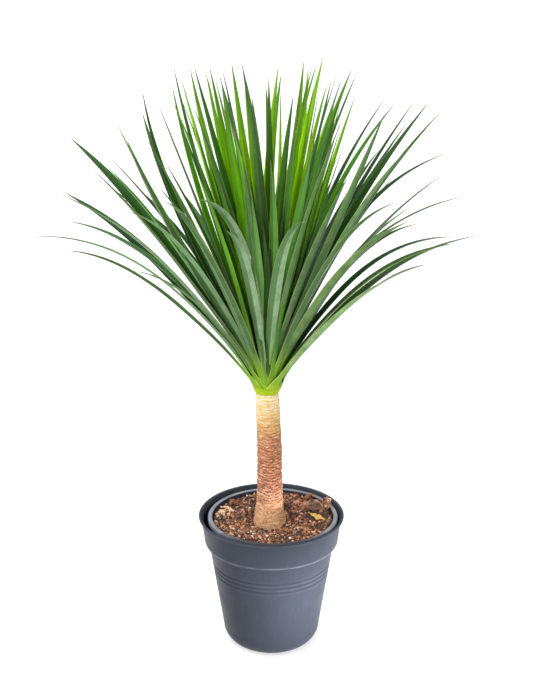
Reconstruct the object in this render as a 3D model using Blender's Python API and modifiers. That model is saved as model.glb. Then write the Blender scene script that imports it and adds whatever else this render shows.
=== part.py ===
"""A potted dragon tree: a rosette of strap leaves on a ringed stem, rooted in a grow pot of compost that
stands in a moulded cover pot. Metres, +Z up; the origin is the centre of the cover pot's underside, and -Y
is the front."""

import math

import bmesh
import bpy
import numpy as np
from mathutils import Matrix, Vector, noise

MM = 0.001
CM = 0.01
GAP = 0.3 * MM                     # clearance between touching pieces

# Cover pot
POT_RADIUS = 95 * MM
POT_HEIGHT = 182 * MM
POT_WALL = 2.6 * MM
ROLL = 1.7 * MM                    # radius of the rolled rim
COLLAR_TOP_RADIUS = 91.5 * MM
COLLAR_FOOT_RADIUS = 87.5 * MM
COLLAR_DROP = 36 * MM              # from the rim to the collar's foot
BODY_TOP_RADIUS = 81.5 * MM
BODY_TOP_DROP = 42 * MM
BODY_FOOT_RADIUS = 63.5 * MM
CORNER = 24 * MM                   # radius of the rounded foot
GROOVE_DROPS = (64 * MM, 70.4 * MM, 76.8 * MM)
GROOVE_HALF = 2.0 * MM
GROOVE_DEPTH = 1.2 * MM
SILL_HEIGHT = 12 * MM              # the raised floor that keeps the grow pot out of the water
SILL_RADIUS = 52 * MM
SILL_INSIDE = 30 * MM
HOLLOW = 1.5 * MM                  # recess under the base, between the centre boss and the foot ring
BOSS_RADIUS = 14 * MM
RING_RADIUS = 34 * MM              # inner edge of the foot ring
POT_SIDES = 40

# Grow pot
GROW_RIM_RADIUS = 85 * MM
GROW_RIM_TOP = 179 * MM
GROW_MOUTH_RADIUS = 79.4 * MM
GROW_NECK_DROP = 38 * MM           # below this the wall is slimmer, clear of the cover pot's body
GROW_NECK_RADIUS = 76 * MM
GROW_FOOT_RADIUS = 52 * MM
GROW_WALL = 1.5 * MM
GROW_LIP = 6 * MM                  # how far the rim's skirt turns down
GROW_SHIFT = 2 * MM                # it stands a little to the right of the cover pot's axis
DRAIN_HOLES = 6
DRAIN_RADIUS = 4 * MM
DRAIN_CIRCLE = 19 * MM
GROW_SIDES = 36

# Compost
SOIL_TOP = 174 * MM                # its level along the pot's wall
SOIL_DIP = 5.5 * MM                  # how much lower it is round the stem
DIP_FROM = 24 * MM                 # the dip rises from this radius to the next
DIP_TO = 50 * MM
SOIL_LUMP = 3 * MM                 # height of the crumbs
SOIL_SIDES = 36
SOCKET_SIDES = 24                  # of the hole that the stem stands in
SOIL_RINGS = 11

# Stem
STEM_BASE = SOIL_TOP - SOIL_DIP
STEM_FOOT_RADIUS = 20.4 * MM
STEM_WAIST_RADIUS = 16.2 * MM
STEM_TOP_RADIUS = 15.2 * MM
STEM_BURIED = 42 * MM
STEM_TOP = 352 * MM
STEM_AT = -2.4 * MM                # where it stands, left of the pot's axis
STEM_TOP_AT = -5.4 * MM            # its top leans further left
KNUCKLE = 0.7 * MM                 # how far the root knuckles swell the foot
STEM_BELLY = 1.6 * MM              # and its middle bows back to the right
SCAR_PITCH = 5.8 * MM              # from one leaf scar to the next
SCAR_DEPTH = 0.9 * MM
STEM_SIDES = 14

# Crown
CROWN_FOOT = Vector((STEM_TOP_AT, 0, STEM_TOP + GAP))
CROWN_TILT = math.radians(10)      # the rosette's own axis leans back
CROWN_AXIS = Vector((0, math.sin(CROWN_TILT), math.cos(CROWN_TILT)))
# The growing tip that the leaf bases wrap: radius and height above the crown's foot
CORE = ((14.6, 0), (17, 3.5), (19, 9), (20, 18), (21, 32), (19, 48), (13, 66), (4, 78))
CORE_SIDES = 12
SHEATH_WIDTH = 20 * MM             # a leaf's clasping base
LEAF_THICK = 1.4 * MM
ROOT_RADIUS = 12 * MM              # how far out the lowest leaf is rooted
ROOT_LOW = 4 * MM                  # how far above the crown's foot
ROOT_RISE = 52 * MM                # how much further up the youngest leaf is rooted
BEND_AT = 0.57                     # where along its chord a leaf bends most
MIDDLE_DEPTH = 0.42                # how far a leaf's middle has gone of the depth that its tip reaches
ROLL_RANGE = 26                    # degrees to either side that a leaf is rolled about its own line
TWIST_RANGE = 40                   # and that it twists from base to tip
SWAY_RANGE = 0.04                  # how far its middle strays sideways, as a share of its length
FULL_AT = 0.36                     # share of its length where a leaf is widest
NECK_SHARE = 0.62                  # its width just above the clasping base, as a share of the full width
TAPER = 1.85                       # how late it tapers
CLASP_REACH = 0.045                # share of its length that the clasping base takes
TROUGH_BASE = 0.42                 # depth of its trough, as a share of half its width
TROUGH_TIP = 0.18
THINNING = 0.35                    # how much thinner the keel is at the tip
ROLL_FROM = 0.15                   # a leaf is rolled fully from this share of its length on
LEAF_STATIONS = (0, 0.06, 0.2, 0.4, 0.63, 0.85)
GOLDEN_ANGLE = math.radians(137.508)

# Leaf tips that the photograph shows, in centimetres: across and up from the crown's foot as the eye sees
# them, the depth behind it, which is judged from the leaf's length, and the leaf's width in millimetres.
# Where the photograph shows a leaf all along, two more numbers place its middle, across and up.
EYE = Vector((0, -1.692, 1.007))
EYE_PITCH = math.radians(19.3)
LEFT_TIPS = (
    (-31.0, 19.6, 8, 10, -15.3, 15.6), (-26.4, 17.9, -9, 10, -14.4, 13.4),
    (-26.0, 21.7, 14, 10, -13.5, 15.8), (-27.2, 25.4, -8, 14, -13.3, 16.4),
    (-25.3, 32.5, 4, 16, -13.5, 19.8), (-22.6, 28.6, -14, 12, -12.0, 17.0), (-20.9, 30.5, 15, 10),
    (-20.8, 29.0, -6, 13, -11.3, 17.8), (-19.4, 34.9, 19, 16, -12.3, 21.0),
    (-19.2, 23.2, -15, 10, -9.8, 16.8), (-17.9, 32.3, -15, 15, -11.5, 19.2),
    (-15.9, 38.7, 4, 14, -11.1, 22.6), (-15.9, 35.7, 21, 12, -10.8, 22.1), (-15.5, 32.5, -13, 16),
    (-14.5, 38.3, -5, 15, -7.9, 21.5), (-14.2, 26.5, -20, 12), (-13.6, 24.2, -23, 11, -7.8, 17.8),
    (-17.3, 15.4, -16, 10, -8.5, 10.8),
)
TOP_TIPS = (
    (-12.2, 39.5, 14, 16, -7.6, 21.8), (-12.0, 41.9, 5, 15, -7.2, 23.1), (-11.2, 41.1, -3, 19, -6.4, 23.3),
    (-9.9, 41.6, 16, 16, -5.6, 23.1), (-9.4, 41.8, 2, 19, -4.7, 23.6), (-7.9, 41.1, 20, 15),
    (-7.4, 41.8, 8, 17), (-6.2, 40.7, -8, 19), (-5.9, 41.9, -3, 16), (-4.6, 42.3, 12, 15),
    (-3.3, 42.2, 18, 16), (-2.6, 39.5, -9, 17), (-2.0, 38.0, 22, 14), (-0.2, 39.3, 14, 15),
    (0.2, 40.3, -5, 15), (1.5, 41.9, 3, 17), (1.9, 40.9, 20, 15), (3.4, 38.1, -9, 16), (4.7, 42.5, 8, 16),
    (5.3, 41.7, 17, 15), (5.9, 42.1, -2, 19), (6.5, 42.3, 4, 16), (7.3, 43.2, 13, 15), (8.4, 40.6, -6, 19),
    (9.3, 41.6, 18, 15), (9.8, 40.7, 0, 19), (11.0, 41.5, 11, 16), (11.7, 41.1, 4, 19),
    (10.0, 35.7, -13, 16), (8.8, 29.8, 28, 12), (-5.6, 36.4, -7, 15), (-9.6, 36.8, -9, 15),
    (-7.9, 31.8, -11, 15), (-3.2, 30.0, -12, 14), (-4.4, 33.7, -10, 14), (3.8, 35.9, -8, 14),
    (9.3, 39.0, 9, 15), (8.1, 35.1, -9, 15), (5.9, 31.8, -11, 14), (0.4, 29.6, -9, 13),
)
RIGHT_TIPS = (
    (15.6, 38.1, 14, 12, 7.1, 22.7), (16.6, 37.0, 3, 15, 7.4, 22.3), (15.1, 35.7, -10, 13, 8.5, 20.2),
    (19.2, 37.6, 8, 15, 8.9, 20.7), (18.1, 34.6, 18, 12, 8.9, 19.8), (20.9, 37.2, 0, 16, 9.9, 21.0),
    (22.4, 35.9, -5, 14, 10.6, 20.5), (18.4, 31.3, -14, 12, 9.4, 19.0), (16.5, 27.7, 24, 11),
    (23.3, 30.4, 5, 15, 10.7, 21.0), (16.7, 24.1, -19, 10, 8.0, 16.6), (25.8, 24.9, 12, 11, 11.6, 17.6),
    (18.2, 21.7, -14, 15, 9.0, 14.4), (19.7, 21.4, 17, 10, 10.1, 15.6), (25.0, 19.6, 8, 11, 12.3, 15.4),
    (23.9, 18.8, -11, 10, 11.6, 13.2), (20.6, 16.2, -18, 14, 10.9, 11.2),
)
# The leaves that fold over in front
FOLDED_TIPS = (
    (-8.6, 24.4, -20, 16, -2.9, 17.6), (-5.3, 20.4, -21, 14, -2.4, 14.7), (4.9, 21.6, -20, 17, 1.6, 15.8),
)

YOUNG_LEAVES = 16                  # short upright leaves in the heart
YOUNG_LENGTH = (0.21, 0.34)
YOUNG_LEAN = (3, 26)               # degrees from upright
REAR_LEAVES = 14                   # leaves behind, where the photograph doesn't reach
REAR_LENGTH = (0.34, 0.41)
REAR_LEAN = (44, 66)
REAR_SPREAD = math.radians(62)     # to either side of straight back
OTHER_WIDTH = 14                   # millimetres, for the leaves that the photograph doesn't show
SEED = 11

# The clod of bark at the back right: a lump on the compost and one that stands up beside it and leans on the
# grow pot's rim, as (centre, half sizes, lean about the front-to-back axis in degrees)
CLOD_LUMPS = (
    ((55 * MM, 33 * MM, 177 * MM), (13.5 * MM, 10 * MM, 7.5 * MM), 0),
    ((71.5 * MM, 27 * MM, 182 * MM), (8 * MM, 7 * MM, 10.5 * MM), 30),
)
# Thin scraps that lie flat on the compost, as outlines of (x, y) in millimetres
SCRAP_THICK = 1.2 * MM
DRY_FLAKE = (
    (48, 16), (55, 12), (59, 12.5), (61, 9), (63, 10), (71, -7), (63, -5), (59, -7), (56, 2), (53, 6),
)
PALE_SCRAPS = (
    ((-66, 31), (-62, 36), (-58, 35), (-53, 29), (-50, 21), (-51, 15), (-55, 19), (-58, 27), (-62, 31)),
    ((-71, 17), (-67, 22), (-63, 19), (-65, 14), (-69, 14)),
)
BARK_CHUNK = ((-50 * MM, 42 * MM, 177 * MM), (7.5 * MM, 5 * MM, 4.4 * MM), 12)


def clear_scene():
    for obj in list(bpy.data.objects):
        bpy.data.objects.remove(obj, do_unlink=True)


def collection(name, shown=True):
    made = bpy.data.collections.new(name)
    made.hide_render = not shown
    bpy.context.scene.collection.children.link(made)
    return made


def material(name, colour, roughness, metallic=0.0):
    made = bpy.data.materials.new(name)
    made.use_nodes = True
    shader = made.node_tree.nodes["Principled BSDF"]
    shader.inputs["Base Color"].default_value = (*colour, 1)
    shader.inputs["Roughness"].default_value = roughness
    shader.inputs["Metallic"].default_value = metallic
    return made


def add_object(name, mesh, into, finish=None):
    obj = bpy.data.objects.new(name, mesh)
    into.objects.link(obj)
    if finish:
        mesh.materials.append(finish)
    return obj


def baked(obj):
    """The object with its modifiers applied."""
    bpy.context.view_layer.update()
    graph = bpy.context.evaluated_depsgraph_get()
    mesh = bpy.data.meshes.new_from_object(obj.evaluated_get(graph))
    obj.modifiers.clear()
    obj.data = mesh
    return obj


def turned(name, profile, sides, into, finish):
    """A closed solid: the profile, of (radius, height) from the axis out and back to it, turned about Z."""
    mesh = bpy.data.meshes.new(name)
    points = [(radius, 0, height) for radius, height in profile]
    mesh.from_pydata(points, [(i, i + 1) for i in range(len(points) - 1)], [])
    obj = add_object(name, mesh, into, finish)
    screw = obj.modifiers.new("turn", "SCREW")
    screw.steps = screw.render_steps = sides
    screw.use_merge_vertices = True
    screw.merge_threshold = 0.00005
    screw.use_normal_calculate = True
    baked(obj)
    face_outwards(obj)
    return obj


def face_outwards(obj):
    shape = bmesh.new()
    shape.from_mesh(obj.data)
    bmesh.ops.remove_doubles(shape, verts=shape.verts, dist=0.00002)
    bmesh.ops.recalc_face_normals(shape, faces=shape.faces)
    if shape.calc_volume(signed=True) < 0:
        bmesh.ops.reverse_faces(shape, faces=shape.faces)
    shape.to_mesh(obj.data)
    shape.free()


def keep_largest_body(obj):
    """Fill the small hollows that joining sealed and drop loose scraps: only the largest body stays."""
    shape = bmesh.new()
    shape.from_mesh(obj.data)
    left = set(shape.verts)
    bodies = []
    while left:
        body = {left.pop()}
        edge = list(body)
        while edge:
            near = {link.other_vert(vert) for vert in edge for link in vert.link_edges} - body
            body |= near
            edge = list(near)
        left -= body
        bodies.append(body)
    bodies.sort(key=len)
    for scrap in bodies[:-1]:
        bmesh.ops.delete(shape, geom=list(scrap), context="VERTS")
    shape.to_mesh(obj.data)
    shape.free()


def smooth(obj, degrees=40):
    obj.data.shade_smooth()
    obj.data.set_sharp_from_angle(angle=math.radians(degrees))


def loft(name, rings, end, into, finish=None):
    """A closed solid through rings of equal point counts, capped flat at the first and drawn to a point."""
    shape = bmesh.new()
    loops = [[shape.verts.new(point) for point in ring] for ring in rings]
    for low, high in zip(loops, loops[1:]):
        for i, corner in enumerate(low):
            j = (i + 1) % len(low)
            shape.faces.new((corner, low[j], high[j], high[i]))
    shape.faces.new(loops[0])
    apex = shape.verts.new(end)
    for i, corner in enumerate(loops[-1]):
        shape.faces.new((corner, loops[-1][(i + 1) % len(loops[-1])], apex))
    bmesh.ops.triangulate(shape, faces=shape.faces)
    bmesh.ops.recalc_face_normals(shape, faces=shape.faces)
    mesh = bpy.data.meshes.new(name)
    shape.to_mesh(mesh)
    shape.free()
    return add_object(name, mesh, into, finish)


def cylinder(name, radius, depth, at, sides, cutters):
    """An upright cylinder that cuts other pieces."""
    bpy.ops.mesh.primitive_cylinder_add(vertices=sides, radius=radius, depth=depth, location=at)
    made = bpy.context.active_object
    made.name = name
    for home in list(made.users_collection):
        home.objects.unlink(made)
    as_cutter(made)
    cutters.objects.link(made)
    return made


def as_cutter(obj):
    obj.display_type = "WIRE"
    obj.hide_render = True


def cut_from(obj, cutter):
    """Take the cutter out of the object."""
    cut = obj.modifiers.new(f"less_{cutter.name}", "BOOLEAN")
    cut.operation = "DIFFERENCE"
    cut.object = cutter


def arc(centre, radius, start, stop, steps):
    """Points of an arc in the profile's plane; angles in degrees from +X."""
    angles = np.radians(np.linspace(start, stop, steps))
    return [(centre[0] + radius * math.cos(a), centre[1] + radius * math.sin(a)) for a in angles]


def body_radius(height):
    """The cover pot's outer radius between the collar and the rounded foot."""
    top = POT_HEIGHT - BODY_TOP_DROP
    share = (height - CORNER) / (top - CORNER)
    return BODY_FOOT_RADIUS + (BODY_TOP_RADIUS - BODY_FOOT_RADIUS) * share


def cover_pot_profile():
    outside = [
        (0, 0),
        (BOSS_RADIUS, 0),
        (BOSS_RADIUS + 2 * MM, HOLLOW),
        (RING_RADIUS - 2 * MM, HOLLOW),
        (RING_RADIUS, 0),
    ]
    outside += arc((BODY_FOOT_RADIUS - CORNER, CORNER), CORNER, -90, 0, 5)
    for drop in reversed(GROOVE_DROPS):
        height = POT_HEIGHT - drop
        outside.append((body_radius(height - GROOVE_HALF), height - GROOVE_HALF))
        outside.append((body_radius(height) - GROOVE_DEPTH, height))
        outside.append((body_radius(height + GROOVE_HALF), height + GROOVE_HALF))
    outside += [
        (BODY_TOP_RADIUS, POT_HEIGHT - BODY_TOP_DROP),
        (COLLAR_FOOT_RADIUS - 1.5 * MM, POT_HEIGHT - COLLAR_DROP - 3 * MM),
        (COLLAR_FOOT_RADIUS, POT_HEIGHT - COLLAR_DROP),
        (COLLAR_TOP_RADIUS, POT_HEIGHT - 2.6 * ROLL),
    ]
    rim = arc((POT_RADIUS - ROLL, POT_HEIGHT - ROLL), ROLL, -60, 150, 5)
    inside = [
        (COLLAR_TOP_RADIUS - POT_WALL, POT_HEIGHT - 3 * ROLL),
        (COLLAR_FOOT_RADIUS - POT_WALL, POT_HEIGHT - COLLAR_DROP),
        (BODY_TOP_RADIUS - POT_WALL, POT_HEIGHT - BODY_TOP_DROP),
        (BODY_FOOT_RADIUS - POT_WALL, CORNER),
        (SILL_RADIUS + 3 * MM, 0.45 * CORNER),
        (SILL_RADIUS, SILL_HEIGHT),
        (SILL_INSIDE, SILL_HEIGHT),
        (SILL_INSIDE - 2 * MM, HOLLOW + POT_WALL),
        (0, HOLLOW + POT_WALL),
    ]
    return outside + rim + inside


def make_cover_pot(into):
    finish = material("slate plastic", (0.075, 0.09, 0.115), 0.42)
    pot = turned("cover_pot", cover_pot_profile(), POT_SIDES, into, finish)
    smooth(pot)
    return pot


GROW_FLOOR = SILL_HEIGHT + GAP     # the grow pot stands on the sill


def grow_wall_radius(height):
    """Outer radius of the grow pot's wall."""
    neck = GROW_RIM_TOP - GROW_NECK_DROP
    if height > neck:
        share = (height - neck) / GROW_NECK_DROP
        return GROW_NECK_RADIUS + (GROW_MOUTH_RADIUS + GROW_WALL - GROW_NECK_RADIUS) * share
    share = (height - GROW_FLOOR) / (neck - GROW_FLOOR)
    return GROW_FOOT_RADIUS + (GROW_NECK_RADIUS - GROW_FOOT_RADIUS) * share


def make_grow_pot(into, cutters):
    neck = GROW_RIM_TOP - GROW_NECK_DROP
    lip = GROW_RIM_TOP - GROW_LIP
    profile = [
        (0, GROW_FLOOR),
        (GROW_FOOT_RADIUS - 2 * MM, GROW_FLOOR),
        (grow_wall_radius(GROW_FLOOR + 3 * MM), GROW_FLOOR + 3 * MM),
        (GROW_NECK_RADIUS, neck),
        (grow_wall_radius(lip), lip),
        (GROW_MOUTH_RADIUS + GROW_WALL, GROW_RIM_TOP - GROW_WALL),
        (GROW_RIM_RADIUS - GROW_WALL, GROW_RIM_TOP - GROW_WALL),
        (GROW_RIM_RADIUS - GROW_WALL, lip),
        (GROW_RIM_RADIUS, lip),
        (GROW_RIM_RADIUS, GROW_RIM_TOP - 0.6 * MM),
        (GROW_RIM_RADIUS - 0.8 * MM, GROW_RIM_TOP),
        (GROW_MOUTH_RADIUS + 0.8 * MM, GROW_RIM_TOP),
        (GROW_MOUTH_RADIUS, GROW_RIM_TOP - 0.6 * MM),
        (GROW_NECK_RADIUS - GROW_WALL, neck),
        (GROW_FOOT_RADIUS - GROW_WALL, GROW_FLOOR + 3 * MM),
        (GROW_FOOT_RADIUS - 4 * MM, GROW_FLOOR + GROW_WALL),
        (0, GROW_FLOOR + GROW_WALL),
    ]
    pot = turned("grow_pot", profile, GROW_SIDES, into, material("grey plastic", (0.2, 0.21, 0.24), 0.4))
    for i in range(DRAIN_HOLES):
        turn = 2 * math.pi * i / DRAIN_HOLES
        at = (GROW_SHIFT + DRAIN_CIRCLE * math.cos(turn), DRAIN_CIRCLE * math.sin(turn), GROW_FLOOR)
        hole = cylinder(f"drain_hole_{i}", DRAIN_RADIUS, 12 * MM, at, 8, cutters)
        cut_from(pot, hole)
    pot.location.x = GROW_SHIFT
    smooth(pot)
    return pot


def stem_centre(height):
    """How far right the stem's axis is at that height: it leans to the left and bows back in the middle."""
    share = min(max((height - STEM_BASE) / (STEM_TOP - STEM_BASE), 0), 1)
    return STEM_AT + (STEM_TOP_AT - STEM_AT) * share + STEM_BELLY * math.sin(math.pi * share)


def stem_radius(height, turn):
    """A flared foot with root knuckles, a waist, and a slim top."""
    share = min(max((height - STEM_BASE) / (STEM_TOP - STEM_BASE), 0), 1)
    flare = (STEM_FOOT_RADIUS - STEM_WAIST_RADIUS) * math.exp(-((share / 0.13) ** 1.6))
    radius = STEM_WAIST_RADIUS + (STEM_TOP_RADIUS - STEM_WAIST_RADIUS) * share + flare
    knuckle = KNUCKLE * math.sin(5 * turn + 0.6) * math.exp(-share / 0.09)
    return radius + knuckle


def make_stem(into):
    """The stem, ringed with tilted leaf scars above its smooth foot, each a step out and a slope back in."""
    bottom = STEM_BASE - STEM_BURIED
    heights = [bottom, bottom + 6 * MM, STEM_BASE - 8 * MM, STEM_BASE + 6 * MM, STEM_BASE + 16 * MM]
    outs = [-6 * MM, 0, 0, 0, 0]
    smooth_rings = len(heights)
    scar = STEM_BASE + 22 * MM
    while scar < STEM_TOP - SCAR_PITCH:
        heights += [scar, scar + 0.22 * SCAR_PITCH]
        outs += [SCAR_DEPTH * 0.5, -SCAR_DEPTH * 0.5]
        scar += SCAR_PITCH
    rings = []
    for i, (height, out) in enumerate(zip(heights, outs)):
        ring = []
        for k in range(STEM_SIDES):
            turn = 2 * math.pi * k / STEM_SIDES
            wander = 0 if i < smooth_rings else 0.5 * MM * math.sin(turn + 1.9 * (i // 2))
            radius = stem_radius(height, turn) + out
            at = stem_centre(height)
            ring.append((at + radius * math.cos(turn), radius * math.sin(turn), height + wander))
        rings.append(ring)
    neck = stem_centre(heights[-1])
    top = [(STEM_TOP_AT + (x - neck) * 0.92, y * 0.92, STEM_TOP) for x, y, _ in rings[-1]]
    finish = material("bark", (0.42, 0.24, 0.12), 0.85)
    stem = loft("stem", rings + [top], (STEM_TOP_AT, 0, STEM_TOP), into, finish)
    smooth(stem, 60)
    return stem


def resting_spots():
    """Where pieces lie on the compost, as (x, y, radius)."""
    spots = [(at[0], at[1], max(half[:2])) for at, half, _ in CLOD_LUMPS + (BARK_CHUNK,)]
    for outline in (DRY_FLAKE,) + PALE_SCRAPS:
        points = np.array(outline) * MM
        middle = points.mean(axis=0)
        spots.append((*middle, np.linalg.norm(points - middle, axis=1).max()))
    return spots


def soil_relief(x, y):
    """The compost's height over its level: it dips round the stem and has no crumbs where a piece lies."""
    clear = min(math.hypot(x - spot[0], y - spot[1]) - spot[2] for spot in resting_spots())
    calm = min(max(clear / (8 * MM) - 1, 0), 1)
    share = min(max((math.hypot(x, y) - DIP_FROM) / (DIP_TO - DIP_FROM), 0), 1)
    dip = SOIL_DIP * (1 - share * share * (3 - 2 * share))
    return SOIL_LUMP * calm * noise.noise(Vector((x, y, 0)) * 95) - dip


def make_soil(into, cutters):
    """The root ball: it fills the grow pot, and the stem stands in a plain hole in it."""
    low = GROW_FLOOR + GROW_WALL + GAP
    neck = GROW_RIM_TOP - GROW_NECK_DROP
    wall = GROW_WALL + GAP * 2
    edge = grow_wall_radius(SOIL_TOP) - wall
    profile = [
        (0, low),
        (GROW_FOOT_RADIUS - 4.6 * MM, low),
        (GROW_FOOT_RADIUS - 2.2 * MM, low + 3 * MM),
        (GROW_NECK_RADIUS - wall, neck - GAP),
        (edge, SOIL_TOP - 2 * MM),
    ]
    profile += [(r, SOIL_TOP) for r in np.linspace(edge, 0, SOIL_RINGS)]
    soil = turned("compost", profile, SOIL_SIDES, into, material("compost", (0.11, 0.055, 0.032), 0.95))
    soil.location.x = GROW_SHIFT
    for vertex in soil.data.vertices:
        if vertex.co.z > SOIL_TOP - 0.1 * MM and math.hypot(vertex.co.x, vertex.co.y) < edge - MM:
            vertex.co.z += soil_relief(vertex.co.x + GROW_SHIFT, vertex.co.y)
    widest = STEM_FOOT_RADIUS + KNUCKLE + GAP
    deep = 2 * (STEM_BURIED + GAP)
    reach = widest / math.cos(math.pi / SOCKET_SIDES)
    socket = cylinder("socket", reach, deep, (STEM_AT, 0, STEM_BASE), SOCKET_SIDES, cutters)
    cut_from(soil, socket)
    return soil


def lump(name, at, half, lean, into, finish=None):
    """A broken crumb: a ball pressed to its half sizes, pushed in and out by a noise, and leant."""
    shape = bmesh.new()
    bmesh.ops.create_icosphere(shape, subdivisions=2, radius=1)
    turned_by = Matrix.Rotation(math.radians(lean), 4, "Y")
    place = Matrix.Translation(at) @ turned_by @ Matrix.Diagonal((*half, 1))
    for vertex in shape.verts:
        vertex.co = place @ (vertex.co * (1 + 0.45 * noise.noise(vertex.co * 1.6 + Vector(at) * 90)))
    mesh = bpy.data.meshes.new(name)
    shape.to_mesh(mesh)
    shape.free()
    return add_object(name, mesh, into, finish)


def make_seat(cutters):
    """What lies under the clods: the compost's level and the grow pot's rim, with their clearance."""
    reach = 95 * MM
    wall = grow_wall_radius(SOIL_TOP) - GROW_WALL - 2 * GAP
    profile = [
        (0, SOIL_TOP + GAP),
        (wall, SOIL_TOP + GAP),
        (wall, GROW_RIM_TOP + GAP),
        (reach, GROW_RIM_TOP + GAP),
        (reach, SOIL_TOP - 30 * MM),
        (0, SOIL_TOP - 30 * MM),
    ]
    seat = turned("seat", profile, 72, cutters, None)
    seat.location.x = GROW_SHIFT
    as_cutter(seat)
    return seat


def make_clods(into, seat):
    finish = material("clod", (0.13, 0.065, 0.04), 0.95)
    clod = lump("bark_clod", *CLOD_LUMPS[0], into, finish)
    upright = lump("upright_lump", *CLOD_LUMPS[1], into)
    join = clod.modifiers.new("join", "BOOLEAN")
    join.operation = "UNION"
    join.object = upright
    baked(clod)
    bpy.data.objects.remove(upright, do_unlink=True)
    chunk = lump("bark_chunk", *BARK_CHUNK, into, finish)
    cut_from(clod, seat)
    cut_from(chunk, seat)


def scrap(name, outline, into, finish):
    """A thin scrap with a torn outline, lying flat on the compost."""
    curve = bpy.data.curves.new(name, "CURVE")
    curve.dimensions = "2D"
    curve.fill_mode = "BOTH"
    curve.extrude = SCRAP_THICK / 2
    line = curve.splines.new("POLY")
    line.points.add(len(outline) - 1)
    for point, (x, y) in zip(line.points, outline):
        point.co = (x * MM, y * MM, 0, 1)
    line.use_cyclic_u = True
    drawn = add_object(name, curve, into)
    graph = bpy.context.evaluated_depsgraph_get()
    mesh = bpy.data.meshes.new_from_object(drawn.evaluated_get(graph))
    bpy.data.objects.remove(drawn, do_unlink=True)
    piece = add_object(name, mesh, into, finish)
    piece.location.z = SOIL_TOP + GAP + SCRAP_THICK / 2
    face_outwards(piece)
    return piece


def seen_point(across, up, back):
    """The point at that depth behind the crown's foot which the eye sees across and up from it."""
    view_up = Vector((0, math.sin(EYE_PITCH), math.cos(EYE_PITCH)))
    seen = CROWN_FOOT + Vector((1, 0, 0)) * across * CM + view_up * up * CM
    ray = seen - EYE
    return EYE + ray * ((back * CM - EYE.y) / ray.y)


def leant_tip(turn, lean, length):
    """The tip of a leaf of that length which leans from upright, turned about Z from straight back."""
    out = Vector((math.sin(turn), math.cos(turn), 0)) * math.sin(lean)
    return CROWN_FOOT + (out + Vector((0, 0, math.cos(lean)))) * length


def leaf_tips():
    """Every leaf as (tip, width, middle): those that the photograph shows, then the heart and back by rule.
    The middle is (across, up), and empty where the leaf's arch follows from its lean."""
    seen = LEFT_TIPS + TOP_TIPS + RIGHT_TIPS + FOLDED_TIPS
    tips = [(seen_point(*row[:3]), row[3], row[4:]) for row in seen]
    for k in range(YOUNG_LEAVES):
        share = k / (YOUNG_LEAVES - 1)
        lean = math.radians(YOUNG_LEAN[1] + (YOUNG_LEAN[0] - YOUNG_LEAN[1]) * share)
        length = YOUNG_LENGTH[1] + (YOUNG_LENGTH[0] - YOUNG_LENGTH[1]) * share
        tips.append((leant_tip(k * GOLDEN_ANGLE, lean, length), OTHER_WIDTH, ()))
    for k in range(REAR_LEAVES):
        share = (k * GOLDEN_ANGLE / math.pi) % 2 - 1
        lean = math.radians(REAR_LEAN[0] + (REAR_LEAN[1] - REAR_LEAN[0]) * k / (REAR_LEAVES - 1))
        length = REAR_LENGTH[0] + (REAR_LENGTH[1] - REAR_LENGTH[0]) * ((k * 5) % REAR_LEAVES) / REAR_LEAVES
        tips.append((leant_tip(share * REAR_SPREAD, lean, length), OTHER_WIDTH, ()))
    return tips


def leaves():
    """Every leaf from the lowest to the youngest, as a dict of its line, width, roll and twist."""
    draw = np.random.RandomState(SEED)

    def lean_of(row):
        return CROWN_AXIS.angle(row[0] - CROWN_FOOT)

    rows = sorted(leaf_tips(), key=lean_of, reverse=True)
    found = []
    for i, (tip, width, middle) in enumerate(rows):
        rank = i / (len(rows) - 1)
        away = tip - CROWN_FOOT
        out = (away - CROWN_AXIS * away.dot(CROWN_AXIS)).normalized()
        rise = ROOT_LOW + ROOT_RISE * rank ** 1.3
        root = CROWN_FOOT + out * ROOT_RADIUS * (1 - rank) ** 0.6 + CROWN_AXIS * rise
        chord = tip - root
        side = chord.cross(Vector((0, 0, 1))).normalized()
        lift = side.cross(chord).normalized()
        lean = math.degrees(math.acos(chord.normalized().z))
        arch = 0.03 + 0.16 * (lean / 60) ** 2 + draw.uniform(-0.015, 0.015)
        sway = draw.uniform(-SWAY_RANGE, SWAY_RANGE)
        roll = math.radians(draw.uniform(-ROLL_RANGE, ROLL_RANGE))
        twist = math.radians(draw.uniform(-TWIST_RANGE, TWIST_RANGE))
        bend = root + chord * BEND_AT + (lift * arch + side * sway) * chord.length
        if middle:
            depth = root.y + MIDDLE_DEPTH * (tip.y - root.y)
            bend = 2 * seen_point(*middle, depth / CM) - (root + tip) / 2
        leaf = {"root": root, "bend": bend, "tip": tip, "side": side, "width": width * MM}
        leaf["roll"] = roll
        leaf["twist"] = twist
        found.append(leaf)
    return found


def leaf_width(full, t):
    """A leaf's width along its length: a clasping base, a narrow neck, the full blade a third of the way up,
    then a long taper to the point."""
    if t < FULL_AT:
        swell = t / FULL_AT
        blade_width = full * (NECK_SHARE + (1 - NECK_SHARE) * swell * swell * (3 - 2 * swell))
    else:
        blade_width = full * (1 - ((t - FULL_AT) / (1 - FULL_AT)) ** TAPER)
    clasp = math.exp(-((t / CLASP_REACH) ** 2))
    return blade_width + (SHEATH_WIDTH - blade_width) * clasp


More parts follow.
